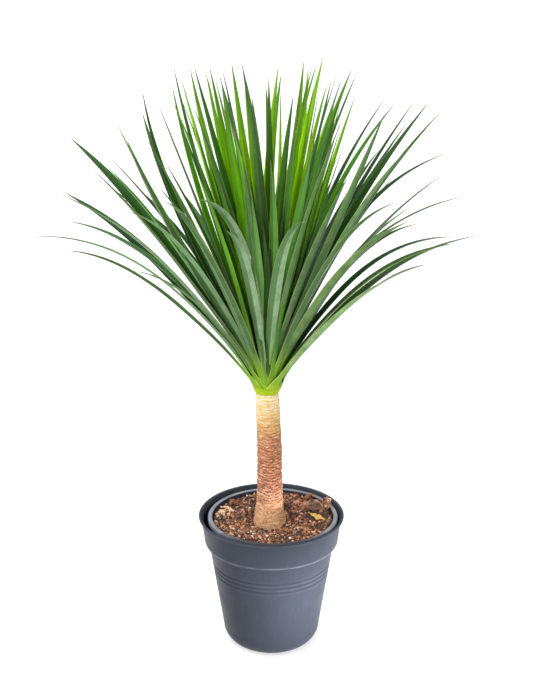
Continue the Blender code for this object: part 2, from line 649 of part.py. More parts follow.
def blade(name, leaf, into):
    """A blade lofted through four-cornered sections: two edges, and a trough and a keel between them."""
    root, bend, tip = leaf["root"], leaf["bend"], leaf["tip"]
    rings = []
    for t in LEAF_STATIONS:
        centre = root * (1 - t) ** 2 + bend * 2 * t * (1 - t) + tip * t * t
        along = ((bend - root) * (1 - t) + (tip - bend) * t).normalized()
        side = leaf["side"] - along * leaf["side"].dot(along)
        side.normalize()
        upper = side.cross(along)
        turn = leaf["roll"] * min(t / ROLL_FROM, 1) + leaf["twist"] * t
        across = side * math.cos(turn) + upper * math.sin(turn)
        above = upper * math.cos(turn) - side * math.sin(turn)
        half = 0.5 * leaf_width(leaf["width"], t)
        trough = half * (TROUGH_BASE + (TROUGH_TIP - TROUGH_BASE) * t)
        thick = LEAF_THICK * (1 - THINNING * t)
        rings.append((
            centre - across * half + above * trough,
            centre - above * thick,
            centre + across * half + above * trough,
            centre,
        ))
    return loft(name, rings, tip, into)


def make_crown(into, pieces):
    """The rosette: the growing tip and every leaf, joined into one solid."""
    rings = []
    for radius, height in CORE:
        turns = [2 * math.pi * k / CORE_SIDES for k in range(CORE_SIDES)]
        spots = [Vector((math.cos(a), math.sin(a), 0)) * radius * MM for a in turns]
        rings.append([CROWN_FOOT + spot + CROWN_AXIS * height * MM for spot in spots])
    top = CROWN_FOOT + CROWN_AXIS * (CORE[-1][1] + 1) * MM
    crown = loft("leaf_crown", rings, top, into, material("leaf", (0.06, 0.19, 0.03), 0.45))
    for i, leaf in enumerate(leaves()):
        blade(f"blade_{i:03d}", leaf, pieces)
    join = crown.modifiers.new("join", "BOOLEAN")
    join.operation = "UNION"
    join.operand_type = "COLLECTION"
    join.collection = pieces
    join.solver = "MANIFOLD"
    baked(crown)
    keep_largest_body(crown)
    for obj in list(pieces.objects):
        bpy.data.objects.remove(obj, do_unlink=True)
    bpy.data.collections.remove(pieces)
    smooth(crown, 50)
    return crown


def main():
    clear_scene()
    parts = collection("potted_dragon_tree")
    cutters = collection("cutters", shown=False)
    make_cover_pot(parts)
    make_grow_pot(parts, cutters)
    make_soil(parts, cutters)
    make_stem(parts)
    make_crown(parts, collection("blades"))
    make_clods(parts, make_seat(cutters))
    scrap("dry_flake", DRY_FLAKE, parts, material("flake", (0.62, 0.36, 0.07), 0.8))
    pale = material("pale wood", (0.5, 0.25, 0.12), 0.9)
    for i, outline in enumerate(PALE_SCRAPS):
        scrap(f"pale_scrap_{i}", outline, parts, pale)


main()
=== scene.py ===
"""The looks of a potted dragon tree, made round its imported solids. +Z is up, and -Y is the front.

Shapes are worked out with numpy as whole arrays, in millimetres until they become meshes: pots are turned
profiles, the stem and the compost are rings whose radius or height follows a formula, leaves are sections
carried along curves, and crumbs are one small lump turned and scaled by seeded draws.
"""
import math

import bpy
import numpy as np
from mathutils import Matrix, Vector


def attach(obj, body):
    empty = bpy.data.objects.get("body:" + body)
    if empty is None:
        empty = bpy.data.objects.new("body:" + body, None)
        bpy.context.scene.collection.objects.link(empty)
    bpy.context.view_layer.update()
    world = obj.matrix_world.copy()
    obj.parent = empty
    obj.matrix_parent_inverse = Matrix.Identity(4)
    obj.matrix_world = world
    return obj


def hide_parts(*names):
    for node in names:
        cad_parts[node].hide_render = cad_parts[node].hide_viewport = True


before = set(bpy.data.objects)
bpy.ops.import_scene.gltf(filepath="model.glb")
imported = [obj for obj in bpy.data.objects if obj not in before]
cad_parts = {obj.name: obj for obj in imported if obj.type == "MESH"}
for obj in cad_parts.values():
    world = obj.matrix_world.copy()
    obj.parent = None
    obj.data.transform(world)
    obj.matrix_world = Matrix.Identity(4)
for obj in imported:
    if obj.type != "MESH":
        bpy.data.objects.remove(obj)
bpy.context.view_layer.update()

MM = 0.001                         # a millimetre in metres
CM = 10                            # a centimetre in millimetres
UP = np.array((0.0, 0.0, 1.0))

# The camera, as solved from the photograph's rims, steps and base
EYE = np.array((0, -1692, 1007))
EYE_PITCH = math.radians(19.3)
FOCAL_PIXELS = 1427
PICTURE_HEIGHT = 691
PICTURE_SHIFT = 3.7                # pixels that the pot's axis lies left of the picture's middle
SENSOR = 36

SURROUND = (0.7, 2.1)              # strength of the white surround at its dimmest and at its brightest
BRIGHTEST = (-0.5, -0.42, 0.76)    # where it is brightest: overhead, at the left and in front
FLOOR_REACH = 12                   # metres, as in what follows
FLOOR_GLOW = 0.42                  # the floor is a lit sheet, as under a product on white
LAMP_AT = np.array((0.46, -0.42, 0.065))
LAMP_AIM = np.array((0, 0, 0.095))
LAMP_SIZE = (0.12, 0.08)
LAMP_POWER = 0.48
LAMP_SPREAD = math.radians(30)

# Cover pot: parts of its outline as (radius, height, fillet), from the axis out and back to it
POT_HEIGHT = 182
POT_BASE = ((0, 0, 0), (14, 0, 0), (16, 1.5, 0), (32, 1.5, 0), (34, 0, 0.4))
POT_BODY = (24, 140), (63.5, 81.5)  # heights and radii of the foot and the top of its straight wall
POT_COLLAR = ((81.5, 140, 2.5), (86.3, 143.8, 1.2), (87.5, 146, 1.5), (91.5, 177.07, 1.2))
POT_INSIDE = ((88.9, 176.56, 1), (84.9, 146, 2), (78.9, 140, 2), (60.9, 24, 4), (55, 10.8, 0), (52, 12, 0),
              (30, 12, 1), (28, 4.1, 1), (0, 4.1, 0))
POT_ROLL = (93.3, 180.3), 1.7       # the rolled rim's middle and its radius
POT_CORNER = (39.5, 24), 24         # and those of the rounded foot
GROOVES = (105.2, 111.6, 118)
GROOVE_HALF = 2
GROOVE_DEPTH = 1.2
POT_TURNS = 160

# Grow pot
GROW_WALL = 1.5
GROW_RIM_TOP = 179
GROW_LIP = GROW_RIM_TOP - 6
GROW_TOP_RADIUS = 80.9
GROW_NECK, GROW_NECK_RADIUS = 141, 76
GROW_FLOOR, GROW_FOOT_RADIUS = 12.3, 52
GROW_SHIFT = 2

# Compost
SOIL_TOP = 174
SOIL_DIP = 5.5
DIP_FROM = 24
DIP_TO = 50
SOIL_TURNS = 220
SOIL_RINGS = 64
CRUMBS = 3600
CLUMP_AT = (50, 56, 179)
CLUMP_CRUMBS = 24
PERLITE = 85
FIBRES = 150
CHIPS = 34
CHIPS_AT = (-62, 21)

# Stem
STEM_BASE = SOIL_TOP - SOIL_DIP
STEM_FOOT_RADIUS = 20.4
STEM_WAIST_RADIUS = 16.2
STEM_TOP_RADIUS = 15.2
STEM_BURIED = 42
STEM_TOP = 352
STEM_AT = -2.4
STEM_TOP_AT = -5.4
STEM_BELLY = 1.6
STEM_TURNS = 120
STEM_RINGS = 560
SCAR_PITCH = 3.9

# Crown: the core and the cup round its foot are heights and radii
CROWN_FOOT = np.array((STEM_TOP_AT, 0, STEM_TOP + 0.3))
CROWN_TILT = math.radians(10)
CROWN_AXIS = np.array((0, math.sin(CROWN_TILT), math.cos(CROWN_TILT)))
CORE = (0, 3.5, 9, 18, 32, 48, 66, 78), (12.8, 14.6, 16.5, 18, 19, 17, 12, 4)
CORE_TURNS = 120
CORE_LOOK = (0.4, 0.5, 0.1)        # its age, draw and bloom_and_painted_light
CUP = (0, 3, 8, 14, 19), (14.7, 16.6, 18.6, 20.4, 21.6)
CUP_LOW = 8
CUP_SWING = 8
CUP_FOLDS = 3
RISE_FIRST = 5                     # how far the spreading leaves hold in before they spread
SHEATH_WIDTH = 24
LEAF_THICK = 1.1
ROOT_RADIUS = 14.6
ROOT_LOW = 2
ROOT_RISE = 54
BEND_AT = 0.57
MIDDLE_DEPTH = 0.42
ARCH_RANGE = 0.015
SWAY_RANGE = 0.04
ROLL_RANGE = 26
TWIST_RANGE = 40
FULL_AT = 0.36
NECK_SHARE = 0.62
TAPER = 1.85
CLASP_REACH = 0.045
TROUGH = (0.42, 0.18)              # its depth at the base and the tip, as a share of half the width
GOLDEN_ANGLE = math.radians(137.508)
YOUNG_WITHIN = 11                  # degrees of lean within which a leaf is young, and over how many it ages
OLD_OVER = 36

# Leaf tips: across and up from the crown's foot as the eye sees them and the depth behind it, in centimetres,
# and the leaf's width in millimetres. Two more numbers, where given, place its middle, across and up.
LEFT_TIPS = (
    (-31.0, 19.6, 8, 10, -15.3, 15.6), (-26.4, 17.9, -9, 10, -14.4, 13.4),
    (-26.0, 21.7, 14, 10, -13.5, 15.8), (-27.2, 25.4, -8, 14, -13.3, 16.4),
    (-25.3, 32.5, 4, 16, -13.5, 19.8), (-22.6, 28.6, -14, 12, -12.0, 17.0), (-20.9, 30.5, 15, 10),
    (-20.8, 29.0, -6, 13, -11.3, 17.8), (-19.4, 34.9, 19, 16, -12.3, 21.0),
    (-19.2, 23.2, -15, 10, -9.8, 16.8), (-17.9, 32.3, -15, 15, -11.5, 19.2),
    (-15.9, 38.7, 4, 14, -11.1, 22.6), (-15.9, 35.7, 21, 12, -10.8, 22.1), (-15.5, 32.5, -13, 16),
    (-14.5, 38.3, -5, 15, -7.9, 21.5), (-14.2, 26.5, -20, 12), (-13.6, 24.2, -23, 11, -7.8, 17.8),
    (-17.3, 15.4, -16, 10, -8.5, 10.8),
)
TOP_TIPS = (
    (-12.2, 39.5, 14, 16, -7.6, 21.8), (-12.0, 41.9, 5, 15, -7.2, 23.1), (-11.2, 41.1, -3, 19, -6.4, 23.3),
    (-9.9, 41.6, 16, 16, -5.6, 23.1), (-9.4, 41.8, 2, 19, -4.7, 23.6), (-7.9, 41.1, 20, 15),
    (-7.4, 41.8, 8, 17), (-6.2, 40.7, -8, 19), (-5.9, 41.9, -3, 16), (-4.6, 42.3, 12, 15),
    (-3.3, 42.2, 18, 16), (-2.6, 39.5, -9, 17), (-2.0, 38.0, 22, 14), (-0.2, 39.3, 14, 15),
    (0.2, 40.3, -5, 15), (1.5, 41.9, 3, 17), (1.9, 40.9, 20, 15), (3.4, 38.1, -9, 16), (4.7, 42.5, 8, 16),
    (5.3, 41.7, 17, 15), (5.9, 42.1, -2, 19), (6.5, 42.3, 4, 16), (7.3, 43.2, 13, 15), (8.4, 40.6, -6, 19),
    (9.3, 41.6, 18, 15), (9.8, 40.7, 0, 19), (11.0, 41.5, 11, 16), (11.7, 41.1, 4, 19),
    (10.0, 35.7, -13, 16), (8.8, 29.8, 28, 12), (-5.6, 36.4, -7, 15), (-9.6, 36.8, -9, 15),
    (-7.9, 31.8, -11, 15), (-3.2, 30.0, -12, 14), (-4.4, 33.7, -10, 14), (3.8, 35.9, -8, 14),
    (9.3, 39.0, 9, 15), (8.1, 35.1, -9, 15), (5.9, 31.8, -11, 14), (0.4, 29.6, -9, 13),
)
RIGHT_TIPS = (
    (15.6, 38.1, 14, 12, 7.1, 22.7), (16.6, 37.0, 3, 15, 7.4, 22.3), (15.1, 35.7, -10, 13, 8.5, 20.2),
    (19.2, 37.6, 8, 15, 8.9, 20.7), (18.1, 34.6, 18, 12, 8.9, 19.8), (20.9, 37.2, 0, 16, 9.9, 21.0),
    (22.4, 35.9, -5, 14, 10.6, 20.5), (18.4, 31.3, -14, 12, 9.4, 19.0), (16.5, 27.7, 24, 11),
    (23.3, 30.4, 5, 15, 10.7, 21.0), (16.7, 24.1, -19, 10, 8.0, 16.6), (25.8, 24.9, 12, 11, 11.6, 17.6),
    (18.2, 21.7, -14, 15, 9.0, 14.4), (19.7, 21.4, 17, 10, 10.1, 15.6), (25.0, 19.6, 8, 11, 12.3, 15.4),
    (23.9, 18.8, -11, 10, 11.6, 13.2), (20.6, 16.2, -18, 14, 10.9, 11.2),
)
FOLDED_TIPS = (
    (-8.6, 24.4, -20, 13, -2.9, 17.6), (-5.3, 20.4, -21, 12, -2.4, 14.7), (4.9, 21.6, -20, 12, 1.6, 15.8),
)
YOUNG_LEAVES = 16
YOUNG_LENGTH = (340, 210)          # of the lowest and of the youngest
YOUNG_LEAN = (26, 3)
REAR_LEAVES = 14
REAR_LENGTH = (340, 410)
REAR_LEAN = (44, 66)
REAR_SPREAD = math.radians(62)
OTHER_WIDTH = 14
SEED = 11
# Narrow young leaves between those of the top, which the solids leave out
SLIM_TIPS = (
    (-1.5, 24, -4, 11), (0.5, 26, 0, 11), (1.2, 23, -6, 10), (-0.5, 21, -8, 11), (2.2, 25, -3, 11),
    (-3, 25, -6, 10), (3.0, 22, -6, 10), (-2.2, 28, -2, 11), (0.1, 19, -1, 10), (1.9, 20, -1, 10),
)
SLIM_GAPS = ((-2.6, 1.3), (2.3, 5.0))
SLIM_WIDTH = (8, 12)
TOP_SLIMMING = 0.88
LOW_WIDENING = 1.18

# What lies on the compost: (centre, half sizes, lean in degrees), and outlines
CLOD_LUMPS = (
    ((55, 33, 177), (13.5, 10, 7.5), 0),
    ((71.5, 27, 182), (8, 7, 10.5), 30),
)
BARK_CHUNK = ((-50, 42, 177), (7.5, 5, 4.4), 12)
DRY_FLAKE = (
    (48, 16), (55, 12), (59, 12.5), (61, 9), (63, 10), (71, -7), (63, -5), (59, -7), (56, 2), (53, 6),
)
PALE_SCRAPS = (
    ((-66, 31), (-62, 36), (-58, 35), (-53, 29), (-50, 21), (-51, 15), (-55, 19), (-58, 27), (-62, 31)),
    ((-71, 17), (-67, 22), (-63, 19), (-65, 14), (-69, 14)),
)

# Colours: the pots' painted shade and dust, the leaf's by age, and the bark's own, pale and dark ones by the share
# of the stem's height
PAINTED_SHADE, DUST = (0.02, 0.023, 0.032), (0.55, 0.52, 0.5)
LEAF_AGES = ((0, (0.25, 0.55, 0.002)), (0.3, (0.15, 0.44, 0.003)), (0.52, (0.085, 0.3, 0.012)),
             (0.78, (0.05, 0.17, 0.024)), (1, (0.032, 0.11, 0.032)))
BARK = ((0, (0.74, 0.41, 0.2)), (0.15, (0.68, 0.35, 0.175)), (0.19, (0.44, 0.17, 0.085)),
        (0.25, (0.63, 0.34, 0.2)), (0.29, (0.49, 0.19, 0.1)), (0.4, (0.49, 0.165, 0.08)),
        (0.69, (0.49, 0.185, 0.08)), (0.74, (0.58, 0.32, 0.12)), (0.82, (0.61, 0.38, 0.14)),
        (0.88, (0.7, 0.53, 0.31)), (0.97, (0.76, 0.64, 0.45)))
BARK_PALE = ((0, (0.8, 0.5, 0.3)), (0.3, (0.8, 0.46, 0.28)), (0.66, (0.84, 0.57, 0.33)),
             (0.9, (0.85, 0.76, 0.58)))
BARK_DARK = ((0, (0.22, 0.1, 0.05)), (0.3, (0.07, 0.022, 0.016)), (0.68, (0.2, 0.07, 0.025)),
             (0.86, (0.56, 0.32, 0.06)), (1, (0.62, 0.38, 0.07)))


# Noise and shapes

def unit(rows):
    return rows / np.linalg.norm(rows, axis=-1, keepdims=True)


def ease(x):
    """From 0 to 1 with level ends: three times the square less twice the cube."""
    x = np.clip(x, 0, 1)
    return x * x * (3 - 2 * x)


def between(ends, share):
    """The number at that share of the way from one end to the other."""
    return ends[0] + (ends[1] - ends[0]) * share


def corner_draw(cell, seed):
    """A number from -1 to 1 for each whole-number cell: its coordinates times large odd numbers, with the bits
    stirred."""
    mixed = (cell @ np.array((374761393, 668265263, 1103515245)) + seed * 144665) & 0xFFFFFFFF
    mixed = ((mixed ^ (mixed >> 13)) * 1274126177) & 0xFFFFFFFF
    return ((mixed ^ (mixed >> 16)) & 0xFFFF) / 32767.5 - 1


def rough(points, size, seed=0):
    """Smooth noise from -1 to 1: a draw at each corner of a grid of cubes of that size, blended between the
    eight corners round a point."""
    at = np.asarray(points) / size
    cell = np.floor(at).astype(np.int64)
    share = ease(at - cell)
    return sum(np.prod(np.where(corner, share, 1 - share), axis=-1) * corner_draw(cell + np.array(corner), seed)
               for corner in np.ndindex(2, 2, 2))


def layered(points, size, layers, seed=0):
    """Noise upon noise: each layer half the size and half the height of the one before."""
    return sum(rough(points, size / 2 ** k, seed + k) / 2 ** k for k in range(layers))


def arc(centre, radius, start, stop, steps):
    """Corners (radius, height, no fillet) on a circle round a centre; angles in degrees from outwards."""
    angles = np.radians(np.linspace(start, stop, steps))
    return [(centre[0] + radius * math.cos(a), centre[1] + radius * math.sin(a), 0) for a in angles]


def rounded(corners, steps=6):
    """The profile through corners (radius, height, fillet). A corner with a fillet becomes the arc of that
    radius which touches both its sides, smaller where a side is too short for it."""
    points = np.array([corner[:2] for corner in corners], float)
    found = []
    for i, (_, _, fillet) in enumerate(corners):
        if not fillet:
            found.append(points[i])
            continue
        before, after = points[i - 1] - points[i], points[i + 1] - points[i]
        room = 0.49 * min(np.linalg.norm(before), np.linalg.norm(after))
        before, after = unit(before), unit(after)
        half = 0.5 * math.acos(np.clip(before @ after, -1, 1))
        reach = min(fillet / math.tan(half), room)
        middle = points[i] + unit(before + after) * reach * math.tan(half) / math.sin(half)
        start, stop = points[i] + before * reach - middle, points[i] + after * reach - middle
        spread = math.pi - 2 * half
        for share in np.linspace(0, 1, steps):
            swing = start * math.sin((1 - share) * spread) + stop * math.sin(share * spread)
            found.append(middle + swing / math.sin(spread))
    return np.array(found)


def refined(profile, step):
    """The same profile with its long straights cut into equal parts no longer than the step."""
    found = [profile[:1]]
    for start, stop in zip(profile[:-1], profile[1:]):
        parts = max(1, math.ceil(np.linalg.norm(stop - start) / step))
        found.append(start + (stop - start) * (np.arange(1, parts + 1) / parts)[:, None])
    return np.concatenate(found)


def convexity(profile, spread=2):
    """How sharply a profile turns outwards near each point, from 0 to 1: the turns at the point and its
    neighbours added up, above a sixth of a quarter turn."""
    step = np.diff(profile, axis=0)
    turn = np.diff(np.unwrap(np.arctan2(step[:, 1], step[:, 0])))
    turn = np.concatenate([[0], turn, [0]])
    around = sum(np.roll(turn, k) for k in range(-spread, spread + 1))
    return np.clip((around / (math.pi / 2) - 0.16) / 0.6, 0, 1)


def link(name, data):
    """An object of that name in the scene."""
    made = bpy.data.objects.new(name, data)
    bpy.context.scene.collection.objects.link(made)
    return made


def add_piece(name, points, faces, marks=None, crease=None):
    """A mesh object from an array of points in millimetres and arrays of faces, whose corners are as many as
    the rows are long. Marks are named numbers or vectors, one for each point."""
    mesh = bpy.data.meshes.new(name)
    mesh.vertices.add(len(points))
    mesh.vertices.foreach_set("co", (points * MM).astype(np.float32).ravel())
    corners = np.concatenate([block.ravel() for block in faces])
    mesh.loops.add(len(corners))
    mesh.loops.foreach_set("vertex_index", corners.astype(np.int32))
    sides = np.repeat([block.shape[1] for block in faces], [len(block) for block in faces])
    mesh.polygons.add(len(sides))
    mesh.polygons.foreach_set("loop_start", (np.cumsum(sides) - sides).astype(np.int32))
    mesh.update(calc_edges=True)
    for mark_name, values in (marks or {}).items():
        values = np.asarray(values, np.float32)
        kind, field = ("FLOAT", "value") if values.ndim == 1 else ("FLOAT_VECTOR", "vector")
        mesh.attributes.new(mark_name, kind, "POINT").data.foreach_set(field, values.ravel())
    mesh.shade_smooth()
    if crease:
        mesh.set_sharp_from_angle(angle=math.radians(crease))
    return link(name, mesh)


def circle(count):
    """Points spread evenly round the unit circle."""
    angles = np.linspace(0, 2 * math.pi, count, endpoint=False)
    return np.stack([np.cos(angles), np.sin(angles)], -1)


def ring_faces(rows, columns):
    """Faces of a grid whose columns close on themselves: each joins a point, its neighbour, and the same two
    one row on."""
    row, column = np.meshgrid(np.arange(rows - 1), np.arange(columns), indexing="ij")
    low, beside = row * columns, (column + 1) % columns
    faces = np.stack([low + column, low + beside, low + columns + beside, low + columns + column], -1)
    return faces.reshape(-1, 4)


def closed_rings(rings, first, last):
    """Points and faces of rings closed by a pole at either end."""
    rows, columns = rings.shape[:2]
    points = np.concatenate([np.reshape(rings, (-1, 3)), [first, last]])
    column = np.arange(columns)
    beside, base, low = (column + 1) % columns, (rows - 1) * columns, rows * columns
    caps = np.concatenate([
        np.stack([np.full(columns, low), beside, column], -1),
        np.stack([np.full(columns, low + 1), base + column, base + beside], -1)])
    return points, [ring_faces(rows, columns), caps]


def repeated(faces, count, size):
    """A shape's faces once for each of its copies, whose points follow each other."""
    shift = (np.arange(count) * size)[:, None, None]
    return [(block[None] + shift).reshape(-1, block.shape[1]) for block in faces]


def turned(name, profile, shift, wear_and_painted_light, varied):
    """A profile of (radius, height), from the axis out and back to it, turned about Z. The mark
    wear_and_painted_light is each profile point's paler edge, worn and with painted highlight, as the last
    function changes it round the pot, and below zero where shade is painted."""
    inner = profile[1:-1]
    rings = np.empty((len(inner), POT_TURNS, 3))
    rings[..., :2] = inner[:, None, :1] * circle(POT_TURNS)
    rings[..., 2] = inner[:, None, 1]
    rings[..., 0] += shift
    points, faces = closed_rings(rings, *((shift, 0, profile[end][1]) for end in (0, -1)))
    worn = np.concatenate([np.repeat(wear_and_painted_light[1:-1], POT_TURNS), (0, 0)])
    return add_piece(name, points, faces, {"wear_and_painted_light": varied(points, worn)}, 40)


# Nodes

class Value:
    """What a shader node gives. It is multiplied, added to and taken from like a number."""

    def __init__(self, socket):
        self.socket = socket
        self.tree = socket.id_data

    def __mul__(self, other):
        return maths("MULTIPLY", self, other)

    def __add__(self, other):
        return maths("ADD", self, other)

    def __sub__(self, other):
        return maths("SUBTRACT", self, other)


def fill(node, inputs):
    """Set or link a node's inputs, by name or number. Three numbers are a colour where the input takes one."""
    for key, value in inputs.items():
        socket = node.inputs[key]
        if isinstance(value, Value):
            value.tree.links.new(value.socket, socket)
        else:
            socket.default_value = (*value, 1) if socket.type == "RGBA" else value


def put(tree, kind, inputs=None, **settings):
    """A shader node with its settings and inputs. Gives its outputs by name and number."""
    made = tree.nodes.new("ShaderNode" + kind)
    for key, value in settings.items():
        setattr(made, key, value)
    fill(made, inputs or {})
    return {key: Value(socket) for i, socket in enumerate(made.outputs) for key in (i, socket.name)}


def maths(operation, first, *others):
    return put(first.tree, "Math", dict(enumerate((first, *others))), operation=operation)[0]


def painted(colour, *coats):
    """A colour under coats of others, each (share, colour)."""
    for share, coat in coats:
        colour = put(share.tree, "Mix", {0: share, 6: colour, 7: coat}, data_type="RGBA")[2]
    return colour


def ramp(value, stops):
    """A colour for each value, through stops of (value, colour)."""
    made = value.tree.nodes.new("ShaderNodeValToRGB")
    fill(made, {0: value})
    elements = made.color_ramp.elements
    while len(elements) < len(stops):
        elements.new(0.5)
    for element, (place, colour) in zip(elements, stops):
        element.position = place
        element.color = (*colour, 1)
    return Value(made.outputs[0])


def span(value, low, high, to_low=0, to_high=1):
    """A value's place between two others, eased, and scaled to a new span."""
    return put(value.tree, "MapRange", {0: value, 1: low, 2: high, 3: to_low, 4: to_high},
               interpolation_type="SMOOTHSTEP")[0]


def noise(place, scale, detail=3, roughness=0.55):
    return put(place.tree, "TexNoise", {"Vector": place, "Scale": scale, "Detail": detail,
                                        "Roughness": roughness})[0]


def stretched(place, scale):
    """A place scaled by its own amount on each axis."""
    return put(place.tree, "Mapping", {0: place, 3: scale})[0]


def mark(place, name):
    """A number that the mesh carries at each of its points."""
    return put(place.tree, "Attribute", attribute_name=name)["Fac"]


def three_marks(place, name):
    """The three numbers of a mark that holds as many."""
    held = put(place.tree, "Attribute", attribute_name=name)["Vector"]
    parts = put(place.tree, "SeparateXYZ", {0: held})
    return parts[0], parts[1], parts[2]


def new_group(name, inputs, outputs):
    """An empty node group, with what it is given and the node that takes what it gives."""
    tree = bpy.data.node_groups.new(name, "ShaderNodeTree")
    for direction, sockets in (("INPUT", inputs), ("OUTPUT", outputs)):
        for socket, kind in sockets.items():
            tree.interface.new_socket(socket, in_out=direction, socket_type="NodeSocket" + kind)
    given = {socket.name: Value(socket) for socket in tree.nodes.new("NodeGroupInput").outputs}
    return tree, given, tree.nodes.new("NodeGroupOutput")


def use(place, group, **inputs):
    """A group placed in the material that the place belongs to."""
    made = place.tree.nodes.new("ShaderNodeGroup")
    made.node_tree = group
    fill(made, {"Place": place, **inputs})
    return {socket.name: Value(socket) for socket in made.outputs}


def new_material(name, **numbers):
    """A material whose shader has those numbers set on its own sockets, underscores for spaces."""
    made = bpy.data.materials.new(name)
    made.use_nodes = True
    fill(made.node_tree.nodes["Principled BSDF"], {key.replace("_", " "): numbers[key] for key in numbers})
    return made, put(made.node_tree, "TexCoord")["Object"]


def finished(made, colour, roughness, height, strength, distance, **others):
    """Link what varies over a material: its colour, its roughness and its bump."""
    bump = put(made.node_tree, "Bump", {"Height": height, "Strength": strength, "Distance": distance})[0]
    fill(made.node_tree.nodes["Principled BSDF"], {
        "Base Color": colour, "Roughness": roughness, "Normal": bump,
        **{key.replace("_", " "): others[key] for key in others}})
    return made


# Groups that several finishes share

def speckle_group():
    """Grains scattered in space: where the nearest random point is closer than the grain's size, in those
    cells whose own draw is under the share."""
    tree, given, out = new_group("Speckle", {"Place": "Vector", "Scale": "Float", "Size": "Float",
                                             "Share": "Float"}, {"Mask": "Float"})
    cells = put(tree, "TexVoronoi", {"Vector": given["Place"], "Scale": given["Scale"]}, feature="F1")
    draw = put(tree, "SeparateColor", {0: cells["Color"]})[0]
    near = maths("LESS_THAN", cells["Distance"], given["Size"])
    fill(out, {"Mask": near * maths("LESS_THAN", draw, given["Share"])})
    return tree


def mottle_group():
    """A colour that drifts to a darker and a paler one over two sizes of noise."""
    tree, given, out = new_group(
        "Mottle", {"Place": "Vector", "Scale": "Float", "Colour": "Color", "Dark": "Color", "Pale": "Color",
                   "Fine": "Float"}, {"Colour": "Color", "Height": "Float"})
    wide = noise(given["Place"], given["Scale"], 4)
    fine = noise(given["Place"], given["Scale"] * given["Fine"], 3, 0.6)
    dark, pale = given["Dark"], given["Pale"]
    colour = painted(given["Colour"], (span(wide, 0.42, 0.3), dark), (span(wide, 0.52, 0.68), pale),
                     (span(fine, 0.5, 0.3, 0, 0.6), dark), (span(fine, 0.56, 0.75, 0, 0.5), pale))
    fill(out, {"Colour": colour, "Height": wide * 0.6 + fine * 0.4})
    return tree


SPECKLE = speckle_group()
MOTTLE = mottle_group()


def plastic(name, colour, dark, edge, dust):
    """Moulded plastic: a slow drift of shade, fine upright draw marks, edges paler where the mark is above zero,
    worn and with painted highlight, painted shade where it is below zero, and thin dust."""
    made, place = new_material(name, Specular_IOR_Level=0.12)
    drawn = noise(stretched(place, (260, 260, 9)), 1, 2)
    wear_and_painted_light = mark(place, "wear_and_painted_light")
    grain = use(place, SPECKLE, Scale=420, Size=0.16, Share=0.05)["Mask"]
    # Edges paler where the mark is above zero, worn and with painted highlight; painted shade where it is below
    # zero
    base = painted(
        dark, (span(noise(place, 14), 0.35, 0.65, 0.2, 0.8), colour), (span(drawn, 0.5, 0.75, 0, 0.03), edge),
        (wear_and_painted_light * span(noise(place, 60, 4), 0.25, 0.6, 0.35, 1) * 0.8, edge), (span(wear_and_painted_light, 0, -1, 0, 0.9), PAINTED_SHADE),
        (grain * dust, DUST))
    rubbed = span(noise(place, 34, 4), 0.3, 0.7, 0.34, 0.46)
    return finished(made, base, rubbed, noise(place, 900, 2), 0.12, 0.0004)


def leaf_finish():
    """Strap leaves: lime where they clasp, yellow-green in the heart and blue-green outside, with fine lines along
    the blade, thin pale margins, a greyer underside, worn spots, brown tips, and painted shade on one half of the
    blade where it folds. The mark blade holds (across, along, underside) and look holds (age, draw,
    bloom_and_painted_light): above zero its last number is a glaucous coat with painted sheen, and below zero it
    tells how deep in the shade of the other leaves the lower half of the blade stands, painted as shade."""
    made, place = new_material("leaf", Specular_IOR_Level=0.04, Subsurface_Weight=0.1, Subsurface_Scale=0.003,
                               Subsurface_Radius=(0.5, 1, 0.12), Coat_Roughness=0.36)
    across, along, under = three_marks(place, "blade")
    age, draw, bloom_and_painted_light = three_marks(place, "look")
    lane = put(place.tree, "CombineXYZ", {0: across * 11, 1: along * 2.4, 2: draw * 37})[0]
    lines = noise(lane, 1, 4, 0.7)
    shade = maths("POWER", span(draw, 0, 1, 0.55, 1.34), 2)
    shade = shade * span(noise(place, 26), 0.3, 0.7, 0.86, 1.14) * span(lines, 0.28, 0.72, 0.78, 1.22)
    colour = put(place.tree, "HueSaturation", {"Value": shade, "Color": ramp(age, LEAF_AGES)})[0]
    aside = across * 2 - 1
    # Painted shade on one half of each blade, the side chosen by the draw, as where the fold turns it from the
    # light
    half = span(aside * span(draw, 0.45, 0.55, -1, 1), -0.06, 0.06)
    # A glaucous coat with painted sheen, most of it on the blade's unshaded half
    glaucous_and_sheen = bloom_and_painted_light * span(noise(place, 60, 4), 0.3, 0.7, 0.5, 1) * span(half, 0, 1, 1.2, 0.45)
    # The colour of the glaucous coat and its painted sheen
    dust = painted((0.25, 0.42, 0.13), (draw, (0.34, 0.43, 0.31)))
    # Painted shade on the lower halves of blades deep among the other leaves; their pale margins fade there too
    shelter = span(bloom_and_painted_light, 0, -1) * span(along, 0.5, 0.15, 0, 0.85)
    margin = span(maths("ABSOLUTE", aside), 0.88, 0.985) * span(along, 0.02, 0.2, 0.95, 0.4)
    margin *= span(bloom_and_painted_light, -1, 0)
    spot = span(noise(place, 120, 3, 0.7), 0.71, 0.76) * span(age, 0.3, 0.9, 0.2, 0.85)
    colour = painted(
        colour, (glaucous_and_sheen, dust), (half * 0.45, (0.01, 0.04, 0.008)), (under * 0.2, (0.08, 0.2, 0.03)),
        (span(along, 0.17, 0.035, 0, 0.9), (0.18, 0.35, 0.006)),
        (span(along, 0.034, 0.012, 0, 0.75), (0.36, 0.48, 0.012)),
        (shelter, (0.006, 0.022, 0.012)), (margin, (0.44, 0.56, 0.16)), (spot, (0.5, 0.28, 0.07)),
        (span(along, 0.6, 0.95, 0, 0.6), (0.045, 0.1, 0.028)),
        (span(along + draw * 0.03, 0.972, 1, 0, 0.85), (0.3, 0.2, 0.09)))
    return finished(made, colour, span(lines, 0.25, 0.75, 0.36, 0.5), lines, 0.25, 0.0004,
                    Coat_Weight=span(age, 0.2, 0.8, 0, 0.25))


